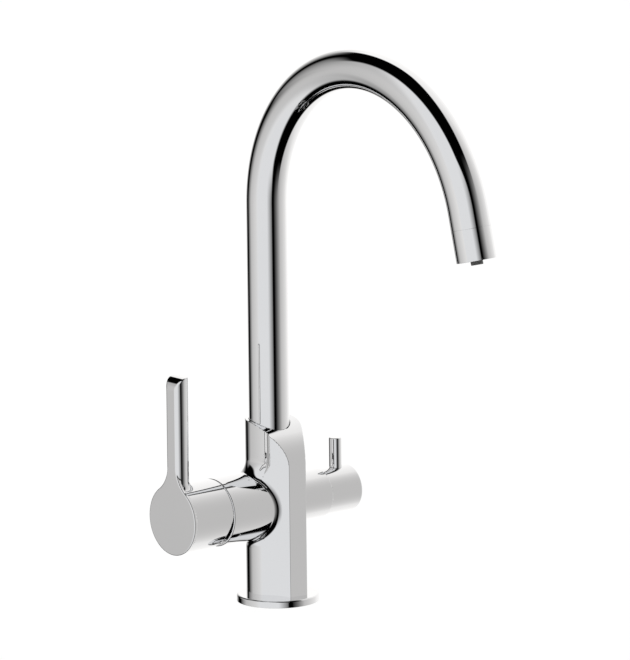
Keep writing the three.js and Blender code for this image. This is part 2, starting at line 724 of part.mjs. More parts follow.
function spindle() {
  const { width, ball, neck, squareStart, end } = SPINDLE;
  const sphere = new THREE.SphereGeometry(ball, SIDES.small, 10).rotateX(Math.PI / 2);
  const ballEnd = solid(sphere.translate(0, 0, BALL_AT));
  const square = block(width, width, end - squareStart, { z: (end + squareStart) / 2 });
  const shank = rod(neck, BALL_AT, squareStart + OVER, SIDES.small);
  return cut(join(ballEnd, shank, square), pivotRod(TILT.pin + CLEAR, width));
}

/** Threaded ring that holds the cartridge down, with notches for its key. */
function cartridgeNut() {
  const low = CARTRIDGE.housingEnd + CLEAR;
  const high = low + NUT.height;
  const inner = CARRIER.neckRadius + 2 * CLEAR;
  const notch = block(2 * NUT.notchDepth, NUT.notchWidth, 2 * NUT.notchDepth, { x: inner, z: high });
  return cut(ring(inner, NUT.outer, low, high), ...around(notch, NUT.notches));
}

/** Polished ring in the barrel's mouth: its outside is a ball about the tilting pivot. */
function cartridgeShroud() {
  const { sphere, end, bore, seat } = SHROUD;
  const low = CARTRIDGE.housingEnd + CLEAR + NUT.height + CLEAR;
  const collar = MIXER.boreRadius - CLEAR;
  const mouth = TILT.pivot + Math.sqrt(sphere ** 2 - (collar - seat) ** 2);
  const from = Math.acos((mouth - TILT.pivot) / sphere);
  const to = Math.acos((end - TILT.pivot) / sphere);
  const ball = arcPoints(0, 0, sphere, Math.PI / 2 - from, Math.PI / 2 - to, 3)
    .map((p) => [p.x, TILT.pivot + p.y]);
  return turned([
    [bore, low], [collar, low], [collar, mouth - seat], ...ball, [bore, end], [bore, low],
  ], SIDES.large);
}

// ---------------------------------------------------------------- mixing lever
/** Front outline of the lever: a round face that runs through concave curves into a straight strip. */
function leverFaceOutline() {
  const { faceRadius, blend, stemRadius, stemAt, faceAt, stemTop } = LEVER;
  const strip = Math.sqrt(stemRadius ** 2 - (faceAt - stemAt) ** 2);
  const centreY = strip + blend;
  const centreX = Math.sqrt((faceRadius + blend) ** 2 - centreY ** 2);
  const leave = Math.atan2(centreY, centreX);
  const round = arcPoints(0, 0, faceRadius, leave, 2 * Math.PI - leave, 36);
  const rising = arcPoints(centreX, -centreY, blend, Math.PI - leave, Math.PI / 2, 6).slice(1);
  const falling = arcPoints(centreX, centreY, blend, -Math.PI / 2, -Math.PI + leave, 6).slice(0, -1);
  const top = stemTop - LEVER.topRound;
  return [...round, ...rising, new THREE.Vector2(top, -strip), new THREE.Vector2(top, strip), ...falling];
}

/** Stem: a rod that is flat in front; its front edge rolls over at the top. */
function leverStem() {
  const { stemRadius, stemAt, stemTop, stemEdge, topRound, faceAt } = LEVER;
  const along = turned([
    [0, 0], [stemRadius, 0], [stemRadius, stemTop - stemEdge], [stemRadius - stemEdge, stemTop], [0, stemTop],
  ]);
  const upright = placed(along, { z: stemAt, turnY: Math.PI / 2 });
  const roll = arcPoints(stemTop - topRound, faceAt - topRound, topRound, Math.PI / 2, 0, 6);
  const outline = [
    new THREE.Vector2(-OVER, 0), new THREE.Vector2(-OVER, faceAt), ...roll, new THREE.Vector2(stemTop, 0),
  ];
  const side = solid(geometryOf(prism(outline, -2 * stemRadius, 2 * stemRadius)).rotateX(Math.PI / 2));
  return upright.intersect(side);
}

/** Flare that carries the stem into the hub. */
function leverFoot() {
  const { stemAt, stemRadius, hubRadius, footRadius, footHeight, footSink, footEdge, faceAt } = LEVER;
  const low = Math.sqrt(hubRadius ** 2 - footRadius ** 2) - footSink;
  const steps = 6;
  const top = hubRadius + footHeight;
  const flare = Array.from({ length: steps + 1 }, (_, i) => {
    const t = i / steps;
    const z = low + footEdge + (top - low - footEdge) * t;
    return [stemRadius + (footRadius - stemRadius) * (1 - Math.sin((Math.PI / 2) * t)), z];
  });
  const along = turned([[0, low], [footRadius, low], ...flare, [0, top]]);
  const upright = placed(along, { z: stemAt, turnY: Math.PI / 2 });
  const room = block(4 * top, 4 * hubRadius, 2 * hubRadius, { z: faceAt - hubRadius });
  return upright.intersect(room);
}

function leverHandle() {
  const { hubRadius, hubStart, faceAt, faceThickness, faceStep, wall, endWall, boss, bossStart, rim } = LEVER;
  const hub = turned([
    [0, hubStart], [hubRadius - rim, hubStart], [hubRadius, hubStart + rim],
    [hubRadius, faceAt - faceStep], [0, faceAt - faceStep],
  ], SIDES.large);
  const face = prism(leverFaceOutline(), faceAt - faceThickness, faceAt);
  const outside = join(hub, face, leverStem(), leverFoot());
  const hollow = ring(boss, hubRadius - wall, hubStart - OVER, faceAt - endWall, SIDES.middle);
  const mouth = rod(hubRadius - wall, hubStart - OVER, bossStart, SIDES.middle);
  const squareWidth = SPINDLE.width + 2 * CLEAR;
  const square = block(squareWidth, squareWidth, SPINDLE.end + CLEAR - hubStart, {
    z: (hubStart + SPINDLE.end + CLEAR) / 2,
  });
  const below = { z: LEVER_SCREW.at, turnY: -Math.PI / 2 };
  const screwHole = placed(rod(LEVER_SCREW.radius + CLEAR, 0, hubRadius - wall, SIDES.small), below);
  const access = placed(rod(LEVER_SCREW.access, boss, hubRadius + OVER, SIDES.small), below);
  return cut(outside, hollow, mouth, square, leverRelief(), screwHole, access);
}

/** Half space below the hub that the tilting lever would otherwise push into the barrel. */
function leverRelief() {
  const angle = TILT.travel + TILT.margin;
  const size = 4 * LEVER.hubRadius;
  const reach = MIXER.barrelEnd + CLEAR - TILT.pivot;
  const tool = block(size, size, size, { z: reach - size / 2 });
  return placed(placed(tool, { turnY: angle }), { z: TILT.pivot });
}

/** Grub screw with a hexagon socket, along +Z from its tip. */
function grubScrew(radius, length, socket) {
  const cone = GRUB.cone * radius;
  const body = turned([
    [0, 0], [radius - cone, 0], [radius, cone], [radius, length], [0, length],
  ], SIDES.small);
  return cut(body, prism(hexagon(socket), GRUB.socketFrom * length, length + OVER));
}

function leverScrew() {
  const screw = grubScrew(LEVER_SCREW.radius, LEVER_SCREW.length, LEVER_SCREW.socket);
  const tip = SPINDLE.width / 2 + CLEAR;
  return placed(screw, { x: -tip, z: LEVER_SCREW.at, turnY: -Math.PI / 2 });
}

// ---------------------------------------------------------------- filter valve
const VALVE_SEAT = FILTER.boreFloor + CLEAR;
const VALVE_SEAL_HIGH = VALVE_SEAT + VALVE_SEAL.height;
const VALVE_FIXED_LOW = VALVE_SEAL_HIGH + CLEAR;
const VALVE_FIXED_HIGH = VALVE_FIXED_LOW + VALVE_DISC.fixedHeight;
const VALVE_MOVING_LOW = VALVE_FIXED_HIGH + CLEAR;
const VALVE_MOVING_HIGH = VALVE_MOVING_LOW + VALVE_DISC.movingHeight;
const VALVE_FOOT_LOW = VALVE_MOVING_HIGH + CLEAR;
const VALVE_FOOT_HIGH = VALVE_SEAT + VALVE.chamberDepth - CLEAR;

/** Brass head of the filter valve, with its discs in a chamber at the inner end. */
function valveHead() {
  const { bodyRadius, chamber, chamberDepth, hexRadius, hexStart, hexHeight, neckRadius, neckEnd } = VALVE;
  const { spindle: shaft, sealSection, sealAt } = VALVE;
  const body = rod(bodyRadius, VALVE_SEAT, hexStart);
  const hex = prism(hexagon(hexRadius), hexStart, hexStart + hexHeight);
  const neck = rod(neckRadius, hexStart, neckEnd);
  const bore = rod(shaft + CLEAR, VALVE_SEAT, neckEnd + OVER, SIDES.small);
  const room = rod(chamber, VALVE_SEAT - OVER, VALVE_SEAT + chamberDepth);
  const grooveHalf = sealSection + CLEAR;
  const groove = rod(shaft + 2 * sealSection + CLEAR, sealAt - grooveHalf, sealAt + grooveHalf, SIDES.small);
  return cut(join(body, hex, neck), bore, room, groove);
}

const valveSeal = () => ring(VALVE_SEAL.inner, VALVE.chamber - CLEAR, VALVE_SEAT, VALVE_SEAL_HIGH);

/** Ceramic disc with two round ports on opposite sides. */
function valveDisc(low, high) {
  const radius = VALVE.chamber - CLEAR;
  const port = placed(rod(VALVE_DISC.port, low - OVER, high + OVER, SIDES.small), { y: VALVE_DISC.portAt });
  return cut(rod(radius, low, high), ...around(port, 2));
}

function valveSpindle() {
  const { spindle: shaft, spindleEnd, chamber, flatDepth, neckEnd } = VALVE;
  const foot = rod(chamber - CLEAR, VALVE_FOOT_LOW, VALVE_FOOT_HIGH);
  const stem = rod(shaft, VALVE_FOOT_LOW, spindleEnd, SIDES.small);
  const flat = block(2 * shaft, 2 * shaft, spindleEnd - neckEnd, {
    x: 2 * shaft - flatDepth, z: (spindleEnd + neckEnd) / 2 + OVER,
  });
  return cut(join(foot, stem), flat);
}

const valveSpindleSeal = () => roundSeal(
  VALVE.spindle + CLEAR + VALVE.sealSection, VALVE.sealSection, VALVE.sealAt, SIDES.small,
);

// ---------------------------------------------------------------- filter knob
function filterKnob() {
  const { radius, start, end, wall, endWall, boss, bossStart, lip, edge } = KNOB;
  const { spindle: shaftRadius, spindleEnd, flatDepth } = VALVE;
  const outside = turned([
    [0, start], [radius - lip, start], [radius, start + lip], [radius, end - edge],
    [radius - edge, end], [0, end],
  ], SIDES.large);
  const hollow = ring(boss, radius - wall, start - OVER, end - endWall);
  const mouth = rod(radius - wall, start - OVER, bossStart);
  const flat = block(2 * shaftRadius, 4 * shaftRadius, end, {
    x: 2 * shaftRadius - flatDepth + CLEAR, z: end / 2 + bossStart,
  });
  const shaft = cut(rod(shaftRadius + CLEAR, start, spindleEnd + CLEAR, SIDES.small), flat);
  const upwards = { z: PIN.at, turnY: -Math.PI / 2 };
  const downwards = { z: PIN.at, turnY: Math.PI / 2 };
  const footEnd = radius - PIN.footDepth - CLEAR;
  const pinHole = placed(rod(PIN.foot + CLEAR, footEnd, radius + OVER, SIDES.small), upwards);
  const pillar = placed(rod(PIN.radius, boss - OVER, radius - wall + CLEAR, SIDES.small), upwards);
  const screwHole = placed(
    rod(KNOB_SCREW.radius + CLEAR, shaftRadius - flatDepth, boss + OVER, SIDES.small), downwards,
  );
  const access = placed(rod(KNOB_SCREW.access, boss, radius + OVER, SIDES.small), downwards);
  return cut(join(cut(outside, hollow, mouth), pillar), shaft, pinHole, screwHole, access);
}

/** Finger pin of the knob: its foot is cut to the knob's curve and a stud screws into the knob. */
function knobPin() {
  const { at, radius, top, sink, foot, footDepth, edge } = PIN;
  const low = KNOB.radius - footDepth;
  const shoulder = KNOB.radius - sink;
  const upwards = { z: at, turnY: -Math.PI / 2 };
  const upright = placed(turned([
    [0, low], [foot, low], [foot, shoulder], [radius, shoulder],
    [radius, top - edge], [radius - edge, top], [0, top],
  ], SIDES.middle), upwards);
  const saddle = cut(
    rod(KNOB.radius + CLEAR, KNOB.start, KNOB.end, SIDES.large),
    placed(rod(foot, 0, KNOB.radius + sink, SIDES.small), upwards),
  );
  return cut(upright, saddle);
}

function knobScrew() {
  const screw = grubScrew(KNOB_SCREW.radius, KNOB_SCREW.length, KNOB_SCREW.socket);
  const tip = VALVE.spindle - VALVE.flatDepth + CLEAR;
  return placed(screw, { x: tip, z: PIN.at, turnY: Math.PI / 2 });
}

// ---------------------------------------------------------------- assembly
/** Named mesh of a solid with the finish of its material. */
function piece(name, manifold, finish) {
  const mesh = new THREE.Mesh(geometryOf(manifold), new THREE.MeshStandardMaterial(PIECES[finish]));
  mesh.name = name;
  return mesh;
}

function groupOf(...meshes) {
  const group = new THREE.Group();
  group.add(...meshes);
  return group;
}

const body = groupOf(
  piece('base_flange', baseFlange(), 'chrome'),
  piece('base_seal', baseSeal(), 'rubber'),
  piece('body_casting', bodyCasting(), 'chrome'),
);

const riser = groupOf(
  piece('spout_tube', spoutTube(), 'chrome'),
  piece('spout_end_fitting', spoutEndFitting(), 'brass'),
  piece('spout_lower_seal', spoutSeal(SPOUT_END.sealZ[0]), 'rubber'),
  piece('spout_upper_seal', spoutSeal(SPOUT_END.sealZ[1]), 'rubber'),
  piece('spout_slip_ring', slipRing(), 'acetal'),
  piece('filter_liner_tube', filterLiner(), 'acetal'),
  piece('filter_liner_seal', linerSeal(), 'rubber'),
);
riser.position.y = RISER_Y;

const stop = groupOf(piece('spout_stop_screw', stopScrew(), 'steel'));
stop.position.set(0, RISER_Y, SPOUT_END.stopZ);
stop.rotation.x = -Math.PI / 2;

const outlet = groupOf(
  piece('outlet_sleeve', outletSleeve(), 'chrome'),
  piece('aerator_seal', aeratorSeal(), 'rubber'),
  piece('aerator_insert', aeratorInsert(), 'greyPlastic'),
  piece('filter_nozzle', filterNozzle(), 'greyPlastic'),
);
outlet.position.set(
  0,
  RISER_Y - SPOUT.archRadius * (1 - Math.cos(SPOUT.bend)),
  SPOUT.archCentreZ + SPOUT.archRadius * Math.sin(SPOUT.bend),
);
outlet.rotation.x = SPOUT.bend;

const mixer = groupOf(
  piece('cartridge_seal', cartridgeSeal(), 'rubber'),
  piece('cartridge_base', cartridgeBase(), 'acetal'),
  piece('cartridge_fixed_disc', fixedDisc(), 'ceramic'),
  piece('cartridge_moving_disc', movingDisc(), 'ceramic'),
  piece('cartridge_disc_driver', discDriver(), 'acetal'),
  piece('cartridge_housing', cartridgeHousing(), 'greyPlastic'),
  piece('cartridge_carrier', cartridgeCarrier(), 'acetal'),
  piece('cartridge_pivot_pin', pivotPin(), 'steel'),
  piece('cartridge_spindle', spindle(), 'steel'),
  piece('cartridge_nut', cartridgeNut(), 'brass'),
  piece('cartridge_shroud', cartridgeShroud(), 'chrome'),
  piece('mixer_lever', leverHandle(), 'chrome'),
  piece('mixer_lever_screw', leverScrew(), 'steel'),
);
mixer.position.set(0, RISER_Y, MIXER.axisZ);
mixer.rotation.y = -Math.PI / 2;

const filter = groupOf(
  piece('filter_valve_head', valveHead(), 'brass'),
  piece('filter_valve_seal', valveSeal(), 'rubber'),
  piece('filter_valve_fixed_disc', valveDisc(VALVE_FIXED_LOW, VALVE_FIXED_HIGH), 'ceramic'),
  piece('filter_valve_moving_disc', valveDisc(VALVE_MOVING_LOW, VALVE_MOVING_HIGH), 'ceramic'),
  piece('filter_valve_spindle', valveSpindle(), 'brass'),
  piece('filter_spindle_seal', valveSpindleSeal(), 'rubber'),
  piece('filter_knob', filterKnob(), 'chrome'),
  piece('filter_knob_pin', knobPin(), 'chrome'),
  piece('filter_knob_screw', knobScrew(), 'steel'),
);
filter.position.set(0, RISER_Y, MIXER.axisZ);
filter.rotation.y = Math.PI / 2;

const tap = groupOf(body, riser, stop, outlet, mixer, filter);
tap.name = 'three_way_filtered_water_tap';

export default tap;
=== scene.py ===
"""Looks of a three way filtered water tap: a tall swivel spout on a cast body, with a mixing lever on
one side and a quarter-turn knob for filtered water on the other, all in polished chrome.

Lengths inside the shapes are millimetres, and they become metres where a mesh is made. The tap stands on
z = 0 with its flange round the origin, the spout points along -Y, the lever is on the -X side.
"""

import json
import logging
import math
from dataclasses import dataclass, field
from enum import Enum
from typing import Callable, Sequence, Union

import bpy
import numpy as np
from mathutils import Matrix, Vector

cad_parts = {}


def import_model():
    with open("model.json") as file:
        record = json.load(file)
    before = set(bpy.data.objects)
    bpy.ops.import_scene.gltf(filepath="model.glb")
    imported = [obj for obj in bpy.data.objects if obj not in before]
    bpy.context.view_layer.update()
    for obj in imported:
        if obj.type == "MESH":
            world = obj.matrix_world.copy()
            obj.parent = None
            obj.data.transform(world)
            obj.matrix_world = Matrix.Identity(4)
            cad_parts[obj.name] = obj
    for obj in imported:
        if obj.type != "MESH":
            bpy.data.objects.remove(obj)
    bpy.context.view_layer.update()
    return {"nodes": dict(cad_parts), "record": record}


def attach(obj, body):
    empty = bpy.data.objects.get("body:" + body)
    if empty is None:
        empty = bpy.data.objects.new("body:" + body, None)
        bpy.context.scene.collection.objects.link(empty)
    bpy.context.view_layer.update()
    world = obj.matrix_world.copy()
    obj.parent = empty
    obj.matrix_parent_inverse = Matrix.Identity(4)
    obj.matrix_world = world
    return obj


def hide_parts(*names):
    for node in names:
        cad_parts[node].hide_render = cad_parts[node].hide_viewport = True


LOG = logging.getLogger("tap")
MM = 0.001
RISER_Y = 6.6
MIXING_Z = 62.0

Array = np.ndarray
Number = Union[int, float]
Shape = Callable[[Array, Array, Array], Array]
Colour = tuple[float, float, float]
Corner = tuple[float, float, float]  # radius from the axis, place along it, rounding
Bore = tuple[float, float, float]  # radius, start and end along its axis
Fine = tuple[int, float, float, float]  # axis, start, end and step of finer grid planes


class Body(Enum):
    """Bodies of the tap that the new pieces ride on."""

    FIXED = "body"
    SPOUT = "spout"
    CARRIER = "mixer_carrier"
    LEVER = "mixer_lever"
    KNOB = "filter_knob"


class Slot(Enum):
    """Material slots of the record."""

    CHROME = "chrome"
    BRASS = "brass"
    STEEL = "steel"
    RUBBER = "rubber"
    CERAMIC = "ceramic"
    WHITE = "white_plastic"
    GREY = "grey_plastic"


# ---------------------------------------------------------------- shader maths
class Signal:
    """A socket whose value can be used in Python expressions."""

    def __init__(self, graph: "Graph", socket: bpy.types.NodeSocket) -> None:
        """Keep the socket and the graph that its node is in."""
        self.graph = graph
        self.socket = socket

    def _with(self, operation: str, first: "Signal | Number", second: "Signal | Number") -> "Signal":
        """Add the Math node of one operation on two values."""
        return self.graph.node("ShaderNodeMath", {"operation": operation}, {0: first, 1: second})

    def __add__(self, other: "Signal | Number") -> "Signal":
        """Sum of two values."""
        return self._with("ADD", self, other)

    def __radd__(self, other: Number) -> "Signal":
        """Sum of a number and a value."""
        return self._with("ADD", other, self)

    def __sub__(self, other: "Signal | Number") -> "Signal":
        """Difference of two values."""
        return self._with("SUBTRACT", self, other)

    def __rsub__(self, other: Number) -> "Signal":
        """A number less a value."""
        return self._with("SUBTRACT", other, self)

    def __mul__(self, other: "Signal | Number") -> "Signal":
        """Product of two values."""
        return self._with("MULTIPLY", self, other)

    def __rmul__(self, other: Number) -> "Signal":
        """Product of a number and a value."""
        return self._with("MULTIPLY", other, self)

    def __truediv__(self, other: "Signal | Number") -> "Signal":
        """Quotient of two values."""
        return self._with("DIVIDE", self, other)

    def __neg__(self) -> "Signal":
        """The value with its sign changed."""
        return self._with("MULTIPLY", self, -1.0)

    def least(self, other: "Signal | Number") -> "Signal":
        """The smaller of two values."""
        return self._with("MINIMUM", self, other)

    def most(self, other: "Signal | Number") -> "Signal":
        """The larger of two values."""
        return self._with("MAXIMUM", self, other)

    def done(self, operation: str) -> "Signal":
        """Result of a Math operation on this value alone."""
        return self.graph.node("ShaderNodeMath", {"operation": operation}, {0: self})

    def ramp(self, low: "Signal | Number", high: "Signal | Number") -> "Signal":
        """Smooth step of this value from 0 at low to 1 at high."""
        limits = {0: self, 1: low, 2: high, 3: 0.0, 4: 1.0}
        return self.graph.node("ShaderNodeMapRange", {"interpolation_type": "SMOOTHSTEP"}, limits)


class Graph:
    """Node tree of a material or of the world."""

    def __init__(self, owner: "bpy.types.Material | bpy.types.World") -> None:
        """Empty the owner's tree.

        Args:
            owner: The material or world that the tree belongs to.
        """
        owner.use_nodes = True
        self.tree = owner.node_tree
        self.tree.nodes.clear()

    def node(
        self, kind: str, settings: dict | None = None, values: dict | None = None, out: int | str = 0
    ) -> Signal:
        """Add a node.

        Args:
            kind: Type of the node.
            settings: Its own settings, set before its sockets.
            values: What its sockets get, a number, colour or Signal, by name or place.
            out: Name or place of the output to return.

        Returns:
            The node's output.
        """
        made = self.tree.nodes.new(kind)
        for name, value in (settings or {}).items():
            setattr(made, name, value)
        for key, value in (values or {}).items():
            if isinstance(value, Signal):
                self.tree.links.new(value.socket, made.inputs[key])
            else:
                made.inputs[key].default_value = value
        return Signal(self, made.outputs[out])

    def blend(self, share: Signal, first: "Signal | tuple", second: "Signal | tuple") -> Signal:
        """Mix of two colours."""
        ends = {"Factor": share, 6: first, 7: second}
        return self.node("ShaderNodeMix", {"data_type": "RGBA"}, ends, out=2)

    def noise(self, scale: float, detail: float = 2.0, roughness: float = 0.5) -> Signal:
        """Noise in the piece's own space, around 0.5."""
        place = self.node("ShaderNodeTexCoord", out="Object")
        values = {"Vector": place, "Scale": scale, "Detail": detail, "Roughness": roughness}
        return self.node("ShaderNodeTexNoise", None, values)

    def bump(self, height: Signal, distance: float, under: Signal | None = None) -> Signal:
        """Normal of a surface that rises with height by a distance in metres.

        Args:
            height: Height, from 0 to 1.
            distance: What a height of 1 rises by.
            under: Normal of a coarser relief that this one lies on.

        Returns:
            The normal.
        """
        values = {"Height": height, "Distance": distance}
        if under is not None:
            values["Normal"] = under
        return self.node("ShaderNodeBump", None, values)

    def surface(self, values: dict) -> None:
        """Close the tree with a Principled shader that has these socket values."""
        shader = self.node("ShaderNodeBsdfPrincipled", None, values)
        self.node_out("ShaderNodeOutputMaterial", shader)

    def node_out(self, kind: str, shader: Signal) -> None:
        """Link a shader to the tree's output."""
        target = self.tree.nodes.new(kind)
        self.tree.links.new(shader.socket, target.inputs["Surface"])


# ---------------------------------------------------------------- finishes
@dataclass(frozen=True)
class Metal:
    """Metal finish: its tone wanders a little, and its polish has faint waves and smears."""

    slot: Slot
    bright: Colour
    dull: Colour
    polish: float
    smear: float
    wave: float
    grain: float = 0.0

    def material(self) -> bpy.types.Material:
        """Make the finish as a material."""
        made = bpy.data.materials.new(self.slot.value)
        graph = Graph(made)
        cloud = graph.noise(14.0, 3.0)
        smear = graph.noise(55.0, 4.0, 0.6)
        tone = graph.blend(cloud.ramp(0.3, 0.7), (*self.dull, 1.0), (*self.bright, 1.0))
        rough = self.polish + self.smear * smear.ramp(0.35, 0.8)
        normal = graph.bump(graph.noise(38.0, 1.0), self.wave)
        if self.grain:
            normal = graph.bump(graph.noise(900.0, 2.0), self.grain, normal)
        graph.surface({"Base Color": tone, "Metallic": 1.0, "Roughness": rough, "Normal": normal})
        return made


@dataclass(frozen=True)
class Moulding:
    """Plastic, rubber or ceramic: a plain tone with a slight mottle and a fine texture."""

    slot: Slot
    light: Colour
    dark: Colour
    rough: float
    spread: float
    texture: float
    scale: float = 600.0

    def material(self) -> bpy.types.Material:
        """Make the finish as a material."""
        made = bpy.data.materials.new(self.slot.value)
        graph = Graph(made)
        mottle = graph.noise(120.0, 4.0)
        tone = graph.blend(mottle.ramp(0.35, 0.65), (*self.dark, 1.0), (*self.light, 1.0))
        rough = self.rough + self.spread * graph.noise(260.0, 3.0)
        normal = graph.bump(graph.noise(self.scale, 2.0), self.texture)
        graph.surface({"Base Color": tone, "Metallic": 0.0, "Roughness": rough, "Normal": normal})
        return made


FINISHES: tuple[Metal | Moulding, ...] = (
    Metal(Slot.CHROME, (0.905, 0.905, 0.910), (0.890, 0.892, 0.898), 0.025, 0.02, 0.000004),
    Metal(Slot.BRASS, (0.78, 0.60, 0.30), (0.62, 0.45, 0.22), 0.28, 0.12, 0.00002, 0.00001),
    Metal(Slot.STEEL, (0.62, 0.62, 0.63), (0.48, 0.48, 0.50), 0.26, 0.12, 0.00002, 0.00001),
    Moulding(Slot.RUBBER, (0.035, 0.035, 0.037), (0.018, 0.018, 0.020), 0.55, 0.2, 0.00003),
    Moulding(Slot.CERAMIC, (0.84, 0.82, 0.78), (0.80, 0.78, 0.74), 0.16, 0.08, 0.00001),
    Moulding(Slot.WHITE, (0.83, 0.83, 0.82), (0.76, 0.76, 0.75), 0.34, 0.12, 0.00002),
    Moulding(Slot.GREY, (0.215, 0.215, 0.21), (0.165, 0.165, 0.16), 0.36, 0.14, 0.00002),
)


class Palette:
    """The materials of the tap, by slot."""

    def __init__(self) -> None:
        """Make one material for each finish."""
        self.materials = {finish.slot: finish.material() for finish in FINISHES}

    def dress(self, piece: bpy.types.Object, slot: Slot) -> None:
        """Give a piece the material of a slot, and name the slot."""
        piece.data.materials.clear()
        piece.data.materials.append(self.materials[slot])


# ---------------------------------------------------------------- meshes
def make_mesh(name: str, points: Array, normals: Array, triangles: Array) -> bpy.types.Object:
    """Make an object from a closed surface with its true normals.

    Args:
        name: Name of the piece.
        points: Points in millimetres, one row each.
        normals: Unit normals, one row for each point.
        triangles: Rows of three point numbers, anticlockwise from outside.

    Returns:
        The object, at the origin, with its place in its mesh.
    """
    mesh = bpy.data.meshes.new(name)
    mesh.from_pydata((points * MM).tolist(), [], triangles.tolist())
    mesh.polygons.foreach_set("use_smooth", np.ones(len(triangles), bool))
    mesh.update()
    mesh.normals_split_custom_set_from_vertices(normals.tolist())
    piece = bpy.data.objects.new(name, mesh)
    bpy.context.scene.collection.objects.link(piece)
    return piece


def welded(points: Array, normals: Array, quads: Array) -> tuple[Array, Array, Array]:
    """Join points that lie together and split quads into triangles, leaving out the flat ones at poles.

    Args:
        points: Points, one row each.
        normals: Normals, one row each; those of joined points are averaged.
        quads: Rows of four point numbers.

    Returns:
        Points, normals and triangles.
    """
    _, first, place = np.unique(np.round(points, 5), axis=0, return_index=True, return_inverse=True)
    place = place.ravel()
    total = np.zeros((len(first), 3))
    np.add.at(total, place, normals)
    quads = place[quads]
    triangles = np.concatenate([quads[:, [0, 1, 2]], quads[:, [0, 2, 3]]])
    a, b, c = triangles.T
    triangles = triangles[(a != b) & (b != c) & (c != a)]
    length = np.maximum(np.linalg.norm(total, axis=1, keepdims=True), 1e-12)
    return points[first], total / length, triangles


def rounded(corners: Sequence[Corner], step: float = 4.0) -> tuple[Array, Array]:
    """Closed outline with rounded corners, and its outward normals.

    Each corner is (radius from the axis, place along it, rounding). A rounding is an arc that touches both
    sides: its centre lies on the bisector at rounding / sin(half the corner's angle).

    Args:
        corners: The outline's corners, clockwise where the axis is drawn upwards on the left.
        step: Longest straight step along a side, in millimetres.

    Returns:
        Points (radius, place) and normals, the first repeated at the end.
    """
    raw = np.array([c[:2] for c in corners], float)
    points, normals = [], []
    count = len(raw)
    ends = []
    for i, (here, size) in enumerate(zip(raw, (c[2] for c in corners))):
        back = raw[i - 1] - here
        ahead = raw[(i + 1) % count] - here
        back /= np.linalg.norm(back)
        ahead /= np.linalg.norm(ahead)
        half = 0.5 * math.acos(float(np.clip(back @ ahead, -1, 1)))
        reach = size / math.tan(half)
        turn = back[0] * ahead[1] - back[1] * ahead[0]
        steps = 8 if size > 0 else 1
        start, finish = here + reach * back, here + reach * ahead
        out_back = np.array([back[1], -back[0]])
        out_ahead = np.array([-ahead[1], ahead[0]])
        share = np.linspace(0, 1, steps + 1)[:, None]
        if size > 0:
            sign = 1.0 if turn > 0 else -1.0
            centre = start - sign * size * out_back
            angle = np.arctan2(*(sign * out_back)[::-1])
            sweep = np.arctan2(*(sign * out_ahead)[::-1]) - angle
            sweep = (sweep + math.pi) % (2 * math.pi) - math.pi
            turns = angle + sweep * share
            spokes = np.concatenate([np.cos(turns), np.sin(turns)], axis=1)
            ends.append((centre + size * spokes, sign * spokes))
        else:
            ends.append((np.array([start, finish]), np.array([out_back, out_ahead])))
    for i, (arc, spokes) in enumerate(ends):
        points.append(arc)
        normals.append(spokes)
        target = ends[(i + 1) % count][0][0]
        gap = np.linalg.norm(target - arc[-1])
        inner = np.linspace(0, 1, max(int(math.ceil(gap / step)), 1) + 1)[1:-1, None]
        along = (target - arc[-1]) / max(gap, 1e-9)
        points.append(arc[-1] + (target - arc[-1]) * inner)
        normals.append(np.repeat(np.array([[-along[1], along[0]]]), len(inner), axis=0))
    points.append(ends[0][0][:1])
    normals.append(ends[0][1][:1])
    return np.concatenate(points), np.concatenate(normals)


@dataclass(frozen=True)
class Line:
    """Straight axis that a profile is carried along."""

    origin: tuple[float, float, float]
    along: tuple[float, float, float]

    def at(self, place: Array) -> tuple[Array, Array, Array, Array]:
        """Centre, direction and two directions across, at places along the axis."""
        along = np.array(self.along, float)
        across = np.array((0.0, 1.0, 0.0) if abs(along[1]) < 0.5 else (1.0, 0.0, 0.0))
        across -= along * (along @ across)
        across /= np.linalg.norm(across)
        other = np.cross(along, across)
        ones = np.ones((len(place), 1))
        return np.array(self.origin) + place[:, None] * along, ones * along, ones * across, ones * other


@dataclass(frozen=True)
class Arch:
    """Centre line of the spout: straight up the riser, round the arch, and straight to the outlet."""

    radius: float = 100.0
    centre_z: float = 253.6
    bend: float = math.radians(165.5)

    @property
    def arc(self) -> float:
        """Length of the bent stretch."""
        return self.radius * self.bend

    @property
    def outlet(self) -> Line:
        """Axis of the outlet, from the end of the bend."""
        centre, along, _, _ = self.at(np.array([self.centre_z + self.arc]))
        return Line(tuple(centre[0]), tuple(along[0]))

    def at(self, place: Array) -> tuple[Array, Array, Array, Array]:
        """Centre, direction and two directions across, at distances along the line from the worktop.

        The centre climbs to the arch's springing, then turns by distance / radius about the arch's centre,
        and after the whole bend runs on along its last direction.
        """
        over = np.maximum(place - self.centre_z, 0)
        angle = np.minimum(over / self.radius, self.bend)
        rest = np.maximum(over - self.arc, 0)
        forward, upward = np.sin(angle), np.cos(angle)
        y = RISER_Y - self.radius * (1 - np.cos(angle)) - rest * forward
        z = np.minimum(place, self.centre_z) + self.radius * np.sin(angle) + rest * upward
        zero = np.zeros_like(place)
        along = np.stack([zero, -forward, upward], axis=1)
        across = np.stack([zero + 1, zero, zero], axis=1)
        return np.stack([zero, y, z], axis=1), along, across, np.cross(along, across)


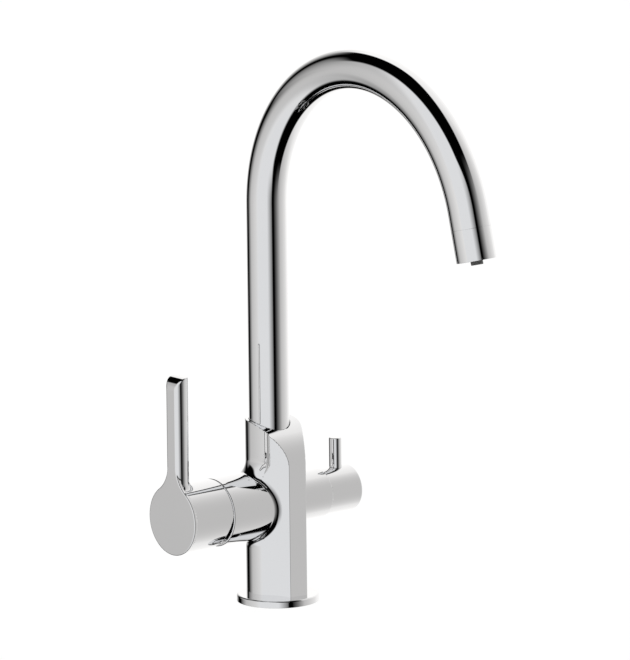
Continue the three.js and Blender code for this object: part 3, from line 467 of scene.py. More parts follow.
def carried(
    name: str, path: "Line | Arch", corners: Sequence[Corner], sides: int = 96, step: float = 4.0
) -> bpy.types.Object:
    """Surface of a closed profile carried round and along a path.

    A point is the path's centre at its place, plus its radius times (cos t across + sin t other).

    Args:
        name: Name of the piece.
        path: The axis or centre line.
        corners: Profile corners (radius, place, rounding), as rounded() takes them.
        sides: Steps round the path.
        step: Longest step along it.

    Returns:
        The piece.
    """
    profile, out = rounded(corners, step)
    centre, along, across, other = path.at(profile[:, 1])
    turn = np.linspace(0, 2 * math.pi, sides + 1)[None, :, None]
    spoke = np.cos(turn) * across[:, None] + np.sin(turn) * other[:, None]
    points = centre[:, None] + profile[:, 0, None, None] * spoke
    normals = out[:, 0, None, None] * spoke + out[:, 1, None, None] * along[:, None]
    rows, cols = points.shape[:2]
    number = np.arange(rows * cols).reshape(rows, cols)
    around = (number[:-1, :-1], number[:-1, 1:], number[1:, 1:], number[1:, :-1])
    quads = np.stack(around, axis=-1).reshape(-1, 4)
    return make_mesh(name, *welded(points.reshape(-1, 3), normals.reshape(-1, 3), quads[:, ::-1]))


# ---------------------------------------------------------------- solids as distance fields
def edge(first: Array, second: Array, radius: float) -> Array:
    """What lies in both of two solids, its edge rounded: outside both, the distance is their hypotenuse."""
    over = np.hypot(np.maximum(first + radius, 0), np.maximum(second + radius, 0))
    return np.minimum(np.maximum(first, second), -radius) + over


def fillet(first: Array, second: Array, radius: float) -> Array:
    """What lies in either of two solids, with a fillet where they meet."""
    return -edge(-first, -second, radius)


def less(solid: Array, tool: Array, radius: float = 0.35) -> Array:
    """A solid with a tool cut out of it and the edge eased."""
    return edge(solid, -tool, radius)


def smooth(value: Array, low: float, high: float) -> Array:
    """Smooth step from 0 at low to 1 at high."""
    share = np.clip((value - low) / (high - low), 0, 1)
    return share * share * (3 - 2 * share)


def rod(across: Array, along: Array, radius: float, low: float, high: float, ease: float = 0.0) -> Array:
    """Round rod: across is the distance from its axis, along the place on it."""
    return edge(across - radius, np.maximum(low - along, along - high), ease)


CORNERS = np.array([(i, j, k) for i in (0, 1) for j in (0, 1) for k in (0, 1)])
CELL_EDGES = [(a, b) for a in range(8) for b in range(a + 1, 8) if abs(CORNERS[a] - CORNERS[b]).sum() == 1]


def slope_of(shape: Shape, points: Array) -> Array:
    """Gradient of a field at points, by central differences."""
    reach = 0.01
    columns = []
    for axis in range(3):
        shift = np.zeros(3)
        shift[axis] = reach
        ahead, behind = points + shift, points - shift
        columns.append((shape(*ahead.T) - shape(*behind.T)) / (2 * reach))
    return np.stack(columns, axis=1)


def planes(low: Sequence[float], high: Sequence[float], cell: float, fine: Sequence[Fine]) -> list[Array]:
    """Grid planes along each axis, a cell apart, and nearer where a stretch is fine.

    Args:
        low: Lowest corner of the grid, in millimetres.
        high: Highest corner.
        cell: Size of a cell.
        fine: Stretches of finer planes, each an axis, a start, an end and a step.

    Returns:
        The places of the planes on the three axes.
    """
    axes = [np.arange(a, b + cell, cell) for a, b in zip(low, high)]
    for axis, start, end, step in fine:
        outside = (axes[axis] < start - 0.5 * step) | (axes[axis] > end + 0.5 * step)
        axes[axis] = np.sort(np.concatenate([axes[axis][outside], np.arange(start, end + 0.5 * step, step)]))
    return axes


def crossing_quads(inside: Array, number: Array) -> Array:
    """A quad for each grid edge that the surface crosses, of the points of its four cells.

    Args:
        inside: Whether each grid point is in the solid.
        number: Number of each cell's point.

    Returns:
        Rows of four point numbers, anticlockwise from outside.
    """
    quads = []
    for axis in range(3):
        b, c = np.eye(3, dtype=int)[(axis + 1) % 3], np.eye(3, dtype=int)[(axis + 2) % 3]
        near, far = [slice(1, -1)] * 3, [slice(1, -1)] * 3
        near[axis], far[axis] = slice(0, -1), slice(1, None)
        one, two = inside[tuple(near)], inside[tuple(far)]
        place = np.argwhere(one != two) + np.array([0 if x == axis else 1 for x in range(3)])
        ring = np.stack([number[tuple((place - s).T)] for s in (b + c, c, 0 * b, b)], axis=1)
        outward = inside[tuple(place.T)]
        quads.append(np.where(outward[:, None], ring, ring[:, ::-1]))
    return np.concatenate(quads)


def settled(shape: Shape, points: Array, most: float) -> tuple[Array, Array]:
    """Points moved on to the surface: each step is the field over its slope squared, along the slope.

    Args:
        shape: Distance field.
        points: Points near its surface.
        most: Longest step along an axis.

    Returns:
        The moved points, and the unit slope at them, which is the surface's normal.
    """
    for _ in range(4):
        slope = slope_of(shape, points)
        step = (shape(*points.T) / np.maximum((slope**2).sum(axis=1), 1e-6))[:, None] * slope
        points = points - np.clip(step, -most, most)
    slope = slope_of(shape, points)
    return points, slope / np.maximum(np.linalg.norm(slope, axis=1, keepdims=True), 1e-9)


def surface_of(
    name: str,
    shape: Shape,
    low: Sequence[float],
    high: Sequence[float],
    cell: float,
    fine: Sequence[Fine] = (),
) -> bpy.types.Object:
    """Mesh of the surface where a field is zero.

    Each cell of a grid that the surface passes through gets one point, the mean of where the field changes
    sign on the cell's edges, and each grid edge that the surface crosses gets the quad of its four cells.
    The points then move along the field's slope on to the surface, and that slope is their normal.

    Args:
        name: Name of the piece.
        shape: Distance field, negative inside.
        low: Lowest corner of the grid, in millimetres.
        high: Highest corner.
        cell: Size of a cell.
        fine: Stretches of finer planes, as planes() takes them.

    Returns:
        The piece.
    """
    axes = planes(low, high, cell, fine)
    size = tuple(len(a) for a in axes)
    value = np.broadcast_to(shape(*np.ix_(*axes)), size)
    inside = value < 0
    count = np.zeros([n - 1 for n in size], np.int8)
    for corner in CORNERS:
        count += inside[tuple(slice(c, n - 1 + c) for c, n in zip(corner, size))]
    active = (count > 0) & (count < 8)
    start = np.argwhere(active)
    number = np.full(active.shape, -1)
    number[active] = np.arange(len(start))
    at_corner = np.stack([value[tuple((start + c).T)] for c in CORNERS], axis=1)
    total, hits = np.zeros((len(start), 3)), np.zeros(len(start))
    for a, b in CELL_EDGES:
        one, two = at_corner[:, a], at_corner[:, b]
        crossed = (one < 0) != (two < 0)
        share = np.where(crossed, one / np.where(crossed, one - two, 1), 0)
        total += crossed[:, None] * (CORNERS[a] + share[:, None] * (CORNERS[b] - CORNERS[a]))
        hits += crossed
    place = start + total / hits[:, None]
    points = np.stack([np.interp(place[:, i], np.arange(size[i]), axes[i]) for i in range(3)], axis=1)
    points, normals = settled(shape, points, 0.5 * cell)
    quads = crossing_quads(inside, number)
    side = np.linalg.norm(points[quads[:, 0]] - points[quads[:, 2]], axis=1)
    turned = side > np.linalg.norm(points[quads[:, 1]] - points[quads[:, 3]], axis=1)
    quads = np.where(turned[:, None], np.roll(quads, 1, axis=1), quads)
    triangles = np.concatenate([quads[:, [0, 1, 2]], quads[:, [0, 2, 3]]])
    return make_mesh(name, points, normals, triangles)


# ---------------------------------------------------------------- sub-assemblies
class Assembly:
    """A group of pieces that share the palette."""

    palette: Palette

    def place(self, piece: bpy.types.Object, body: Body, slot: Slot, *nodes: str) -> None:
        """Dress a piece, let it ride on its body and stand for its nodes.

        Args:
            piece: The new piece.
            body: The body that it moves with.
            slot: Its material slot.
            nodes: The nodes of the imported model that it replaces.
        """
        self.palette.dress(piece, slot)
        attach(piece, body.value)
        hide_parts(*nodes)
        LOG.info("%s: %d faces, rides on %s", piece.name, len(piece.data.polygons), body.value)


@dataclass
class BaseFlange(Assembly):
    """Round flange under the column, with a groove for its seal."""

    palette: Palette
    radius: float = 26.0
    thickness: float = 4.4
    hole: float = 16.3
    ease: float = 1.3
    groove: tuple[float, float, float] = (20.7, 24.3, 1.8)

    def build(self) -> None:
        """Turn the flange."""
        inner, outer, depth = self.groove
        corners = [
            (self.hole, 0.0, 0.2),
            (self.hole, self.thickness, 0.2),
            (self.radius, self.thickness, self.ease),
            (self.radius, 0.0, 0.2),
            (outer, 0.0, 0.2),
            (outer, depth, 0.2),
            (inner, depth, 0.2),
            (inner, 0.0, 0.2),
        ]
        flange = carried("flange_ring", Line((0, 0, 0), (0, 0, 1)), corners, sides=160)
        self.place(flange, Body.FIXED, Slot.CHROME, "base_flange")


@dataclass
class Casting(Assembly):
    """Cast body: a column with a blunt nose, a neck for the spout, the mixing barrel and the filter boss."""

    palette: Palette
    underside: float = 4.25
    back_radius: float = 18.0
    back_y: float = 2.8
    side_turn: float = math.radians(31.3)
    nose_y: float = -20.6
    corner: float = 0.15
    wedge_back: float = -6.6
    wedge_corner: float = 2.6
    wedge_foot: float = 0.5
    shoulder: tuple[float, float] = (82.0, 91.0)
    neck_radius: float = 15.3
    flank_radius: float = 40.0
    crest_y: float = 14.6
    crest_reach: float = 35.2
    crown_z: float = 88.5
    crown_rise: float = 27.3
    barrel_radius: float = 21.6
    barrel_end: float = 47.0
    barrel_seam: float = 44.0
    barrel_rim: float = 0.9
    dome_start: float = 4.0
    dome_depth: float = 16.0
    barrel_fillet: float = 5.5
    barrel_flare: float = 0.8
    front_fillet: float = 0.45
    boss_radius: float = 15.3
    boss_end: float = 38.97
    boss_fillet: float = 3.5
    spigot_radius: float = 16.0
    socket: Bore = (13.0, 86.3, 130.0)
    groove: Bore = (13.9, 104.0, 109.0)
    feed: Bore = (4.6, 79.3, 90.0)
    stop_screw: Bore = (2.3, RISER_Y + 12.0, 40.0)
    stop_screw_z: float = 97.2
    mixing_bore: Bore = (17.9, 9.0, 60.0)
    filter_bore: Bore = (9.5, 14.0, 60.0)
    ports: tuple[tuple[float, float, float, float], ...] = (
        (-8.4, 2.2, 4.6, 14.0),
        (8.4, 2.2, 4.6, 14.0),
        (0.0, -9.4, 4.6, 14.0),
        (0.0, 10.8, 3.6, 16.0),
    )

    def crown(self, y: Array, z: Array) -> Array:
        """Distance to the sloping top: an ellipse in Y and Z that is carried across the tap."""
        up = np.maximum(z - self.crown_z, 0) + 0 * y
        along = np.abs(y - self.crest_y)
        share = np.hypot(up / self.crown_rise, along / self.crest_reach)
        slope = np.maximum(np.hypot(up / self.crown_rise**2, along / self.crest_reach**2), 1e-9)
        return share * (share - 1) / slope

    def plan(self, x: Array, y: Array, z: Array) -> Array:
        """Plan of the column at a height.

        The back is a circle. On the mixing side it draws in above the shoulder to the round neck, whose
        flank ahead of the riser's axis is flatter. In front stand two flat sides and the nose between them.
        """
        cosine, sine = math.cos(self.side_turn), math.sin(self.side_turn)
        share = smooth(z, *self.shoulder) * smooth(-x, -3.0, 3.0)
        back = np.hypot(x, y - self.back_y) - self.back_radius
        flank = np.hypot(np.abs(x) + self.flank_radius - self.neck_radius, y - RISER_Y) - self.flank_radius
        neck = np.where(y < RISER_Y, flank, np.hypot(x, y - RISER_Y) - self.neck_radius)
        back = back + share * (np.maximum(neck, self.wedge_back - 4.0 - y) - back)
        side = np.abs(x) * cosine - (y - self.back_y) * sine - self.back_radius
        front = edge(side, self.nose_y - y, self.corner * (1 - sine))
        wedge = edge(front, y - self.wedge_back, self.wedge_corner * (1 + sine) * share)
        return fillet(back, wedge, self.wedge_foot * share)

    def outside(self, x: Array, y: Array, z: Array) -> Array:
        """The casting without its bores.

        The fillets have one true radius R all round: where the normals of the two surfaces have the product
        c, each surface is left at R (1 - c) from the other. The barrel's is larger in front, and on top it
        reaches further up the column.
        """
        sine = math.sin(self.side_turn)
        upright = edge(self.plan(x, y, z), self.crown(y, z), 0.15)
        upright = edge(upright, self.underside - z, 0.05)
        axis = np.hypot(y - RISER_Y, z - MIXING_Z)
        back = (y - self.back_y) / np.maximum(np.hypot(x, y - self.back_y), 1e-6)
        ahead = y < self.back_y - self.back_radius * sine
        product = np.where(ahead, -sine, back) * (y - RISER_Y) / np.maximum(axis, 1e-6)
        reach = 1 - np.clip(product, -0.9, 0.9)
        tip, girth = np.maximum(x + self.dome_start, 0) / self.dome_depth, axis / self.barrel_radius
        share = np.hypot(tip, girth)
        slope = np.maximum(np.hypot(tip / self.dome_depth, girth / self.barrel_radius), 1e-9)
        barrel = edge(share * (share - 1) / slope, -self.barrel_seam - x, 0.0)
        boss = rod(axis, x, self.boss_radius, 0.0, self.boss_end, 0.1)
        rise = np.maximum(z - MIXING_Z, 0) / np.maximum(axis, 1e-6)
        fore = np.maximum(RISER_Y - y, 0) / np.maximum(axis, 1e-6)
        size = self.barrel_fillet * (1 + self.front_fillet * fore * fore)
        whole = fillet(upright, barrel / (1 + self.barrel_flare * rise * rise), size * reach)
        whole = fillet(whole, boss, self.boss_fillet * reach)
        spigot = rod(np.hypot(x, y), z, self.spigot_radius, 0.0, self.underside + 1, 0.1)
        return np.minimum(whole, spigot)

    def shape(self, x: Array, y: Array, z: Array) -> Array:
        """The casting with the spout's socket, the bores of both valves and the hose ports."""
        solid = self.outside(x, y, z)
        riser = np.hypot(x, y - RISER_Y)
        axis = np.hypot(y - RISER_Y, z - MIXING_Z)
        solid = less(solid, rod(riser, z, *self.socket), 0.1)
        solid = less(solid, rod(riser, z, *self.groove), 0.1)
        solid = less(solid, rod(riser, z, *self.feed))
        solid = less(solid, rod(np.hypot(x, z - self.stop_screw_z), y, *self.stop_screw))
        solid = less(solid, rod(axis, -x, *self.mixing_bore))
        solid = less(solid, rod(axis, x, *self.filter_bore))
        for px, py, radius, depth in self.ports:
            solid = less(solid, rod(np.hypot(x - px, y - py), z, radius, -5.0, depth))
        return solid

    def barrel_ring(self) -> bpy.types.Object:
        """The turned end of the mixing barrel, which laps over the rest of it."""
        start, bore, outer = self.barrel_seam - 1.0, self.mixing_bore[0], self.barrel_radius + 0.004
        end = self.barrel_end
        corners = [(bore, start, 0.02), (bore, end, 0.3), (outer, end, self.barrel_rim), (outer, start, 0.02)]
        return carried("barrel_end", Line((0, RISER_Y, MIXING_Z), (-1, 0, 0)), corners, sides=256)

    def build(self) -> None:
        """Mesh the casting, and turn the end of its barrel."""
        fine = ((2, 4.01, 4.61, 0.12),)
        body = surface_of("cast_body", self.shape, (-48.2, -22.1, -0.9), (40.1, 29.7, 117.0), 0.6, fine)
        self.place(body, Body.FIXED, Slot.CHROME, "body_casting")
        self.place(self.barrel_ring(), Body.FIXED, Slot.CHROME, "body_casting")


@dataclass
class Spout(Assembly):
    """Swivel spout with its outlet: the bent tube, the sleeve at its end and the filtered-water nozzle."""

    palette: Palette
    arch: Arch = field(default_factory=Arch)
    radius: float = 12.75
    wall: float = 1.75
    tube_start: float = 99.7
    straight: float = 30.6
    sleeve: float = 20.4

    def tube(self) -> bpy.types.Object:
        """The tube, carried along the arch."""
        bore = self.radius - self.wall
        end = self.arch.centre_z + self.arch.arc + self.straight - self.sleeve - 0.02
        corners = [
            (bore, self.tube_start, 0.3),
            (bore, end, 0.3),
            (self.radius, end, 0.1),
            (self.radius, self.tube_start, 0.3),
        ]
        return carried("spout_pipe", self.arch, corners, sides=112, step=3.0)

    def outlet_sleeve(self) -> bpy.types.Object:
        """The sleeve that holds the aerator."""
        start, end = self.straight - self.sleeve, self.straight
        bore, spigot = 9.2, self.radius - self.wall - 0.3
        corners = [
            (bore, start - 7, 0.2),
            (bore, end - 11.4, 0.2),
            (11.2, end - 11.4, 0.2),
            (11.2, end, 0.2),
            (self.radius, end, 0.2),
            (self.radius, start, 0.1),
            (spigot, start, 0.2),
            (spigot, start - 7, 0.2),
        ]
        return carried("outlet_collar", self.arch.outlet, corners, sides=112)

    def nozzle(self) -> bpy.types.Object:
        """The small nozzle of filtered water in the middle of the outlet."""
        end, seat = self.straight + 2.6, self.straight - 0.5 - 8.6 - 0.3
        start = self.straight - self.sleeve - 6
        corners = [
            (3.3, start, 0.1),
            (3.3, seat - 1.4, 0.1),
            (2.2, seat - 0.4, 0.1),
            (2.2, end, 0.15),
            (3.9, end, 0.4),
            (3.9, seat, 0.1),
            (5.0, seat, 0.2),
            (5.0, start, 0.2),
        ]
        return carried("filtered_water_nozzle", self.arch.outlet, corners, sides=48)

    def slip_ring(self) -> bpy.types.Object:
        """The plastic ring on which the spout turns in the neck."""
        corners = [(13.05, 104.3, 0.1), (13.05, 108.7, 0.1), (13.6, 108.7, 0.1), (13.6, 104.3, 0.1)]
        return carried("neck_slip_ring", Line((0, RISER_Y, 0), (0, 0, 1)), corners)

    def build(self) -> None:
        """Make the pieces that show."""
        self.place(self.tube(), Body.SPOUT, Slot.CHROME, "spout_tube")
        self.place(self.outlet_sleeve(), Body.SPOUT, Slot.CHROME, "outlet_sleeve")
        self.place(self.nozzle(), Body.SPOUT, Slot.GREY, "filter_nozzle")
        self.place(self.slip_ring(), Body.SPOUT, Slot.WHITE, "spout_slip_ring")


@dataclass
class MixerLever(Assembly):
    """Mixing lever: a round hub with a flat face that runs up into a stem, flat in front and round behind."""

    palette: Palette
    hub_radius: float = 21.6
    hub_start: float = 47.5
    face_at: float = 80.0
    face_radius: float = 22.5
    face_thickness: float = 2.4
    face_edge: float = 0.7
    stem_at: float = 74.35
    stem_radius: float = 6.9
    stem_top: float = 91.3
    top_round: float = 8.0
    blend: float = 20.0
    foot: float = 3.5
    pivot: float = 37.0
    tilt: float = math.radians(16.0)
    relief_at: float = 47.3
    hollow_radius: float = 19.0
    mouth_end: float = 50.0
    hollow_end: float = 72.0
    boss_radius: float = 8.0
    square_half: float = 3.8
    square_end: float = 60.3
    screw_at: float = 56.5
    screw_radius: float = 2.3
    access_radius: float = 2.6

    def face_outline(self, up: Array, side: Array) -> Array:
        """Distance to the face's outline: a disc, a strip, and a concave arc that touches both."""
        strip = math.sqrt(self.stem_radius**2 - (self.face_at - self.stem_at) ** 2)
        side = np.abs(side)
        centre_side = strip + self.blend
        centre_up = math.sqrt((self.face_radius + self.blend) ** 2 - centre_side**2)
        disc = np.hypot(up, side) - self.face_radius
        bar = np.maximum(side - strip, -up)
        dx, dy = up - centre_up, side - centre_side
        between = (dx <= 0) & (dx * centre_side - dy * centre_up >= 0)
        arc = self.blend - np.hypot(dx, dy)
        return np.where(between, arc, np.minimum(disc, bar))

    def shape(self, x: Array, y: Array, z: Array) -> Array:
        """The lever with its hollow and the square for the spindle."""
        out, up, side = -x, z - MIXING_Z, y - RISER_Y
        axis = np.hypot(up, side)
        hub = axis - self.hub_radius
        stem = np.maximum(np.hypot(out - self.stem_at, side) - self.stem_radius, -up)
        whole = fillet(hub, stem, self.foot)
        whole = edge(whole, self.hub_start - out, 0.15)
        plate = edge(self.face_outline(up, side), self.face_at - self.face_thickness - out, 0.4)
        whole = fillet(whole, plate, 0.3)
        front = edge(out - self.face_at, up - self.stem_top, self.top_round)
        whole = edge(whole, front, self.face_edge)
        reach = self.relief_at - self.pivot
        relief = (out - self.pivot) * math.cos(self.tilt) + up * math.sin(self.tilt) - reach
        whole = edge(whole, -relief, 0.3)
        wide = axis - self.hollow_radius
        mouth = np.maximum(wide, out - self.mouth_end)
        hollow = np.maximum(np.maximum(wide, out - self.hollow_end), self.boss_radius - axis)
        whole = less(whole, np.minimum(mouth, hollow))
        square = np.maximum(np.abs(up), np.abs(side)) - self.square_half
        whole = less(whole, np.maximum(square, out - self.square_end), 0.3)
        down = np.hypot(out - self.screw_at, side)
        whole = less(whole, rod(down, -up, self.screw_radius, 0.0, self.hollow_radius), 0.3)
        return less(whole, rod(down, -up, self.access_radius, self.boss_radius, 24.0), 0.3)

    def shroud(self) -> bpy.types.Object:
        """Polished ring in the barrel's mouth, a ball about the tilting pivot."""
        sphere, bore, collar, low, end = 20.0, 13.6, 17.6, 42.3, 50.0
        turn = np.linspace(math.acos(13.0 / sphere), math.asin(collar / sphere) - 0.03, 7)
        ball = [(sphere * math.sin(t), self.pivot + sphere * math.cos(t), 0.0) for t in turn]
        shoulder = self.pivot + sphere * math.cos(turn[-1]) - 0.5
        corners = [(bore, low, 0.1), (bore, end, 0.2), *ball, (collar, shoulder, 0.0), (collar, low, 0.1)]
        return carried("barrel_shroud", Line((0, RISER_Y, MIXING_Z), (-1, 0, 0)), corners, sides=128)

    def build(self) -> None:
        """Mesh the lever and turn the shroud."""
        fine = ((0, -48.1, -47.2, 0.15), (0, -80.15, -79.05, 0.2))
        lever = surface_of("mixing_lever", self.shape, (-80.9, -16.9, 38.6), (-45.8, 30.2, 154.4), 0.55, fine)
        self.place(lever, Body.LEVER, Slot.CHROME, "mixer_lever")
        self.place(self.shroud(), Body.CARRIER, Slot.CHROME, "cartridge_shroud")


@dataclass
class FilterKnob(Assembly):
    """Quarter-turn knob of the filtered water, with its finger pin."""

    palette: Palette
    radius: float = 14.4
    start: float = 39.0
    end: float = 63.8
    pin_at: float = 53.6
    pin_radius: float = 4.0
    pin_top: float = 33.3
    pin_foot: float = 11.2
    stud_radius: float = 2.4
    hollow_radius: float = 12.5
    mouth_end: float = 49.0
    hollow_end: float = 59.3
    boss_radius: float = 7.0
    spindle: Bore = (4.3, 30.0, 57.3)
    pin_hole: Bore = (2.7, 10.9, 20.0)
    screw: Bore = (1.9, 7.0, 20.0)

    def shape(self, x: Array, y: Array, z: Array) -> Array:
        """The knob with its hollow, the hole of the pin and the access to its screw."""
        up, side = z - MIXING_Z, y - RISER_Y
        axis = np.hypot(up, side)
        whole = edge(axis - self.radius, x - self.end, 0.8)
        whole = edge(whole, self.start - x, 0.1)
        wide = axis - self.hollow_radius
        mouth = np.maximum(wide, x - self.mouth_end)
        hollow = np.maximum(np.maximum(wide, x - self.hollow_end), self.boss_radius - axis)
        post = np.hypot(x - self.pin_at, side)
        hollow = np.maximum(hollow, -np.maximum(post - self.pin_radius, -up))
        whole = less(whole, np.minimum(mouth, hollow))
        whole = less(whole, rod(axis, x, *self.spindle), 0.3)
        whole = less(whole, rod(post, up, *self.pin_hole), 0.3)
        return less(whole, rod(post, -up, *self.screw), 0.3)

    def pin_shape(self, x: Array, y: Array, z: Array) -> Array:
        """The finger pin, its foot cut to the knob's curve, and its stud in the knob."""
        up, side = z - MIXING_Z, y - RISER_Y
        post = np.hypot(x - self.pin_at, side)
        shaft = rod(post, up, self.pin_radius, self.pin_foot, self.pin_top, 0.7)
        saddle = self.radius + 0.06 - np.hypot(up, side)
        stud = rod(post, up, self.stud_radius, self.pin_foot, 17.0, 0.2)
        return np.minimum(edge(shaft, saddle, 0.25), stud)

    def pin(self) -> bpy.types.Object:
        """Mesh the finger pin."""
        return surface_of("knob_finger_pin", self.pin_shape, (48.9, 1.9, 72.4), (58.3, 11.3, 96.0), 0.4)

    def build(self) -> None:
        """Mesh the knob and its pin."""
        knob = surface_of("filter_turn_knob", self.shape, (38.2, -8.7, 46.7), (64.7, 21.9, 77.3), 0.6)
        self.place(knob, Body.KNOB, Slot.CHROME, "filter_knob")
        self.place(self.pin(), Body.KNOB, Slot.CHROME, "filter_knob_pin")


@dataclass
class InnerPieces:
    """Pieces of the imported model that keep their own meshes, inside the tap or under it."""

    palette: Palette

    def build(self, nodes: dict[str, bpy.types.Object], record: dict) -> None:
        """Dress each node that still shows with the finish of its slot.

        Args:
            nodes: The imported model's nodes by name.
            record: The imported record, which names each node's slot.
        """
        slots = {part["node"]: Slot(part["material_slot"]) for part in record["subparts"]}
        for name, node in sorted(nodes.items()):
            if not node.hide_render:
                self.palette.dress(node, slots[name])
                LOG.info("%s keeps its mesh, in %s", name, slots[name].value)


# ---------------------------------------------------------------- studio
class Direction:
    """Where a ray of the world goes, as values of the shader."""

    def __init__(self, graph: Graph) -> None:
        """Take the direction apart.

        The side is the angle to the left in degrees. The front is the share of -Y in what is left across it.

        Args:
            graph: Tree of the world.
        """
        way = graph.node("ShaderNodeTexCoord", out="Generated")
        x, y, z = (graph.node("ShaderNodeSeparateXYZ", None, {0: way}, out=axis) for axis in range(3))
        front = -y / (y * y + z * z + 1e-6).done("SQRT")
        self.side = (-x).done("ARCSINE") * math.degrees(1)
        self.fore, self.rear = front.most(0.0), (-front).most(0.0)
        self.above = z.ramp(-0.05, 0.05)
        self.ahead = front.ramp(0.65, 1.0)
        self.behind = (-front).ramp(0.8, 0.95)
        self.rearward = self.rear.ramp(0.3, 0.8)


@dataclass
class Sky:
    """World that the chrome mirrors: a soft panel on the left and right, dark over and under the tap.

    Places are in degrees to the left, and slopes are levels for each degree.
    """

    cool: Colour = (0.985, 0.995, 1.01)
    warm: Colour = (1.01, 1.0, 0.99)
    darkest: float = 0.0005
    left_level: float = 0.787
    left_edge: float = 18.5
    left_soft: float = 4.2
    left_slope: float = 0.0052
    rear_drop: float = 0.437
    fade_end: float = 37.0
    fade_slope: float = 0.024
    back_level: float = 0.35
    low_back: tuple[float, float] = (-0.28, 0.0215)
    high_back: tuple[float, float] = (0.03, 0.0135)
    right_level: float = 0.88
    right_edge: float = 24.0
    right_soft: float = 2.5
    even_rise: tuple[float, float] = (-1.0, 37.5)
    tail_rise: tuple[float, float] = (-3.0, 32.0)

    def left_panel(self, way: Direction) -> Signal:
        """Level of the left panel.

        It is even inside a soft edge, which moves outwards over the horizon and inwards straight ahead, where
        it also fades. Straight behind, the level rises with the angle instead, steeper under the horizon.
        """
        side, over = way.side, way.above * (1.0 - way.ahead)
        soft = self.left_soft + 2.3 * way.ahead - 1.4 * over
        middle = self.left_edge - 12.5 * way.ahead + 5.0 * over
        most = self.left_level + (self.left_slope * side - self.rear_drop) * way.rearward
        fade = self.fade_slope * way.ahead * (self.fade_end - side).most(0.0)
        panel = most * side.ramp(middle - soft, middle + soft) - fade
        low = self.low_back[0] + self.low_back[1] * side
        high = (self.high_back[0] + self.high_back[1] * side) * side.ramp(4.0, 12.0)
        back = (low + (high - low) * way.above).least(self.back_level + self.left_slope * side)
        return panel + (back - panel) * way.behind

    def right_panel(self, way: Direction) -> Signal:
        """Level of the right panel: a steep edge, but an even rise straight ahead and straight behind.

        Its level grows towards the rear and falls towards the front, more so away from the axis.
        """
        side = way.side
        middle = way.above * (12.0 * way.rearward - 7.0) - self.right_edge
        steep = 1.0 - side.ramp(middle - self.right_soft, middle + self.right_soft)
        even, tail = (
            ((start - side) * (1.0 / length)).most(0.0).least(1.0)
            for start, length in (self.even_rise, self.tail_rise)
        )
        share = steep + (even - steep) * way.ahead + (tail - steep) * way.behind
        away = 90.0 - side.done("ABSOLUTE")
        gain = way.rear * (0.10 + 0.0019 * away) - 0.0064 * away * way.fore * (2.0 - way.fore)
        return share * (self.right_level + gain)

    def build(self) -> None:
        """Set the world: the panels for what the tap mirrors, and plain white for what the camera sees."""
        world = bpy.data.worlds.new("studio")
        bpy.context.scene.world = world
        graph = Graph(world)
        way = Direction(graph)
        level = self.left_panel(way).most(self.right_panel(way)).most(self.darkest)
        share = way.side.ramp(-10.0, 30.0) * (1.0 - way.rear)
        tint = graph.blend(share, (*self.warm, 1.0), (*self.cool, 1.0))
        room = graph.node("ShaderNodeBackground", None, {"Color": tint, "Strength": level})
        white = graph.node("ShaderNodeBackground", None, {"Color": (1, 1, 1, 1), "Strength": 1.0})
        seen = graph.node("ShaderNodeLightPath", out="Is Camera Ray")
        through = graph.node("ShaderNodeLightPath", out="Is Transmission Ray")
        mixed = graph.node("ShaderNodeMixShader", None, {0: seen.most(through), 1: room, 2: white})
        graph.node_out("ShaderNodeOutputWorld", mixed)


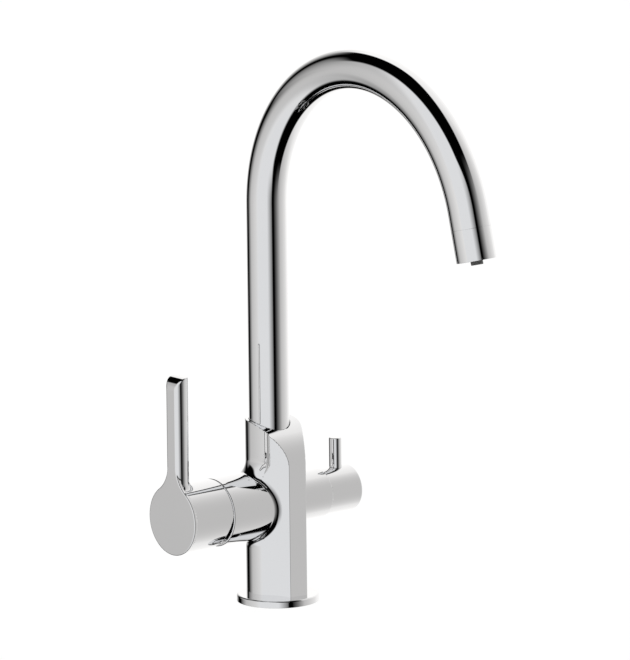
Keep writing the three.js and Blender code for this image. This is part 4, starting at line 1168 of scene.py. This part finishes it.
@dataclass
class Studio:
    """Sky, pale floor, and a camera far off with a long lens, at the photograph's angle."""

    azimuth: float = -39.615
    elevation: float = 12.264
    roll: float = -0.01211
    distance: float = 17.0
    lens: float = 1477.79
    aim: tuple[float, float, float] = (0.0, 6.6, 200.0)
    offset: tuple[float, float] = (29.433, -27.422)
    floor_half: float = 3000.0
    floor_drop: float = 0.05
    glow: float = 1.16
    glow_share: float = 0.82

    def floor(self) -> None:
        """Lay a pale floor that keeps only a faint shadow."""
        spread = self.floor_half * np.array([(-1, -1), (1, -1), (1, 1), (-1, 1)])
        points = np.column_stack([spread, np.full(4, -self.floor_drop)])
        upwards = np.tile((0.0, 0.0, 1.0), (4, 1))
        floor = make_mesh("studio_floor", points, upwards, np.array([[0, 1, 2], [0, 2, 3]]))
        material = bpy.data.materials.new("studio_floor")
        graph = Graph(material)
        pale = graph.node("ShaderNodeBsdfDiffuse", None, {"Color": (0.9, 0.9, 0.9, 1.0)})
        glow = graph.node("ShaderNodeEmission", None, {"Color": (1, 1, 1, 1), "Strength": self.glow})
        seen = graph.node("ShaderNodeLightPath", out="Is Camera Ray")
        mixed = graph.node("ShaderNodeMixShader", None, {0: self.glow_share * seen, 1: pale, 2: glow})
        graph.node_out("ShaderNodeOutputMaterial", mixed)
        floor.data.materials.append(material)
        floor.visible_glossy = False

    def back(self) -> Vector:
        """Direction from the tap to the camera."""
        turn, rise = math.radians(self.azimuth), math.radians(self.elevation)
        return Vector((math.sin(turn) * math.cos(rise), -math.cos(turn) * math.cos(rise), math.sin(rise)))

    def camera(self) -> None:
        """Set up the camera."""
        data = bpy.data.cameras.new("camera")
        camera = bpy.data.objects.new("camera", data)
        bpy.context.scene.collection.objects.link(camera)
        back = self.back()
        right = Vector((math.cos(math.radians(self.azimuth)), math.sin(math.radians(self.azimuth)), 0.0))
        up = back.cross(right)
        centre = (Vector(self.aim) + self.offset[0] * right + self.offset[1] * up) * MM
        turn = back.to_track_quat("Z", "Y").to_matrix().to_4x4() @ Matrix.Rotation(self.roll, 4, "Z")
        camera.matrix_world = Matrix.Translation(centre + back * self.distance) @ turn
        data.lens = self.lens
        data.clip_start, data.clip_end = 1.0, 60.0
        bpy.context.scene.camera = camera

    def build(self) -> None:
        """Set the whole studio."""
        Sky().build()
        self.floor()
        self.camera()
        bpy.context.scene.view_settings.view_transform = "Standard"


def main() -> None:
    """Build the tap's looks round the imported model."""
    logging.basicConfig(level=logging.INFO, format="%(name)s: %(message)s")
    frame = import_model()
    Studio().build()
    palette = Palette()
    BaseFlange(palette).build()
    Casting(palette).build()
    Spout(palette).build()
    MixerLever(palette).build()
    FilterKnob(palette).build()
    InnerPieces(palette).build(frame["nodes"], frame["record"])


if __name__ == "__main__":
    main()
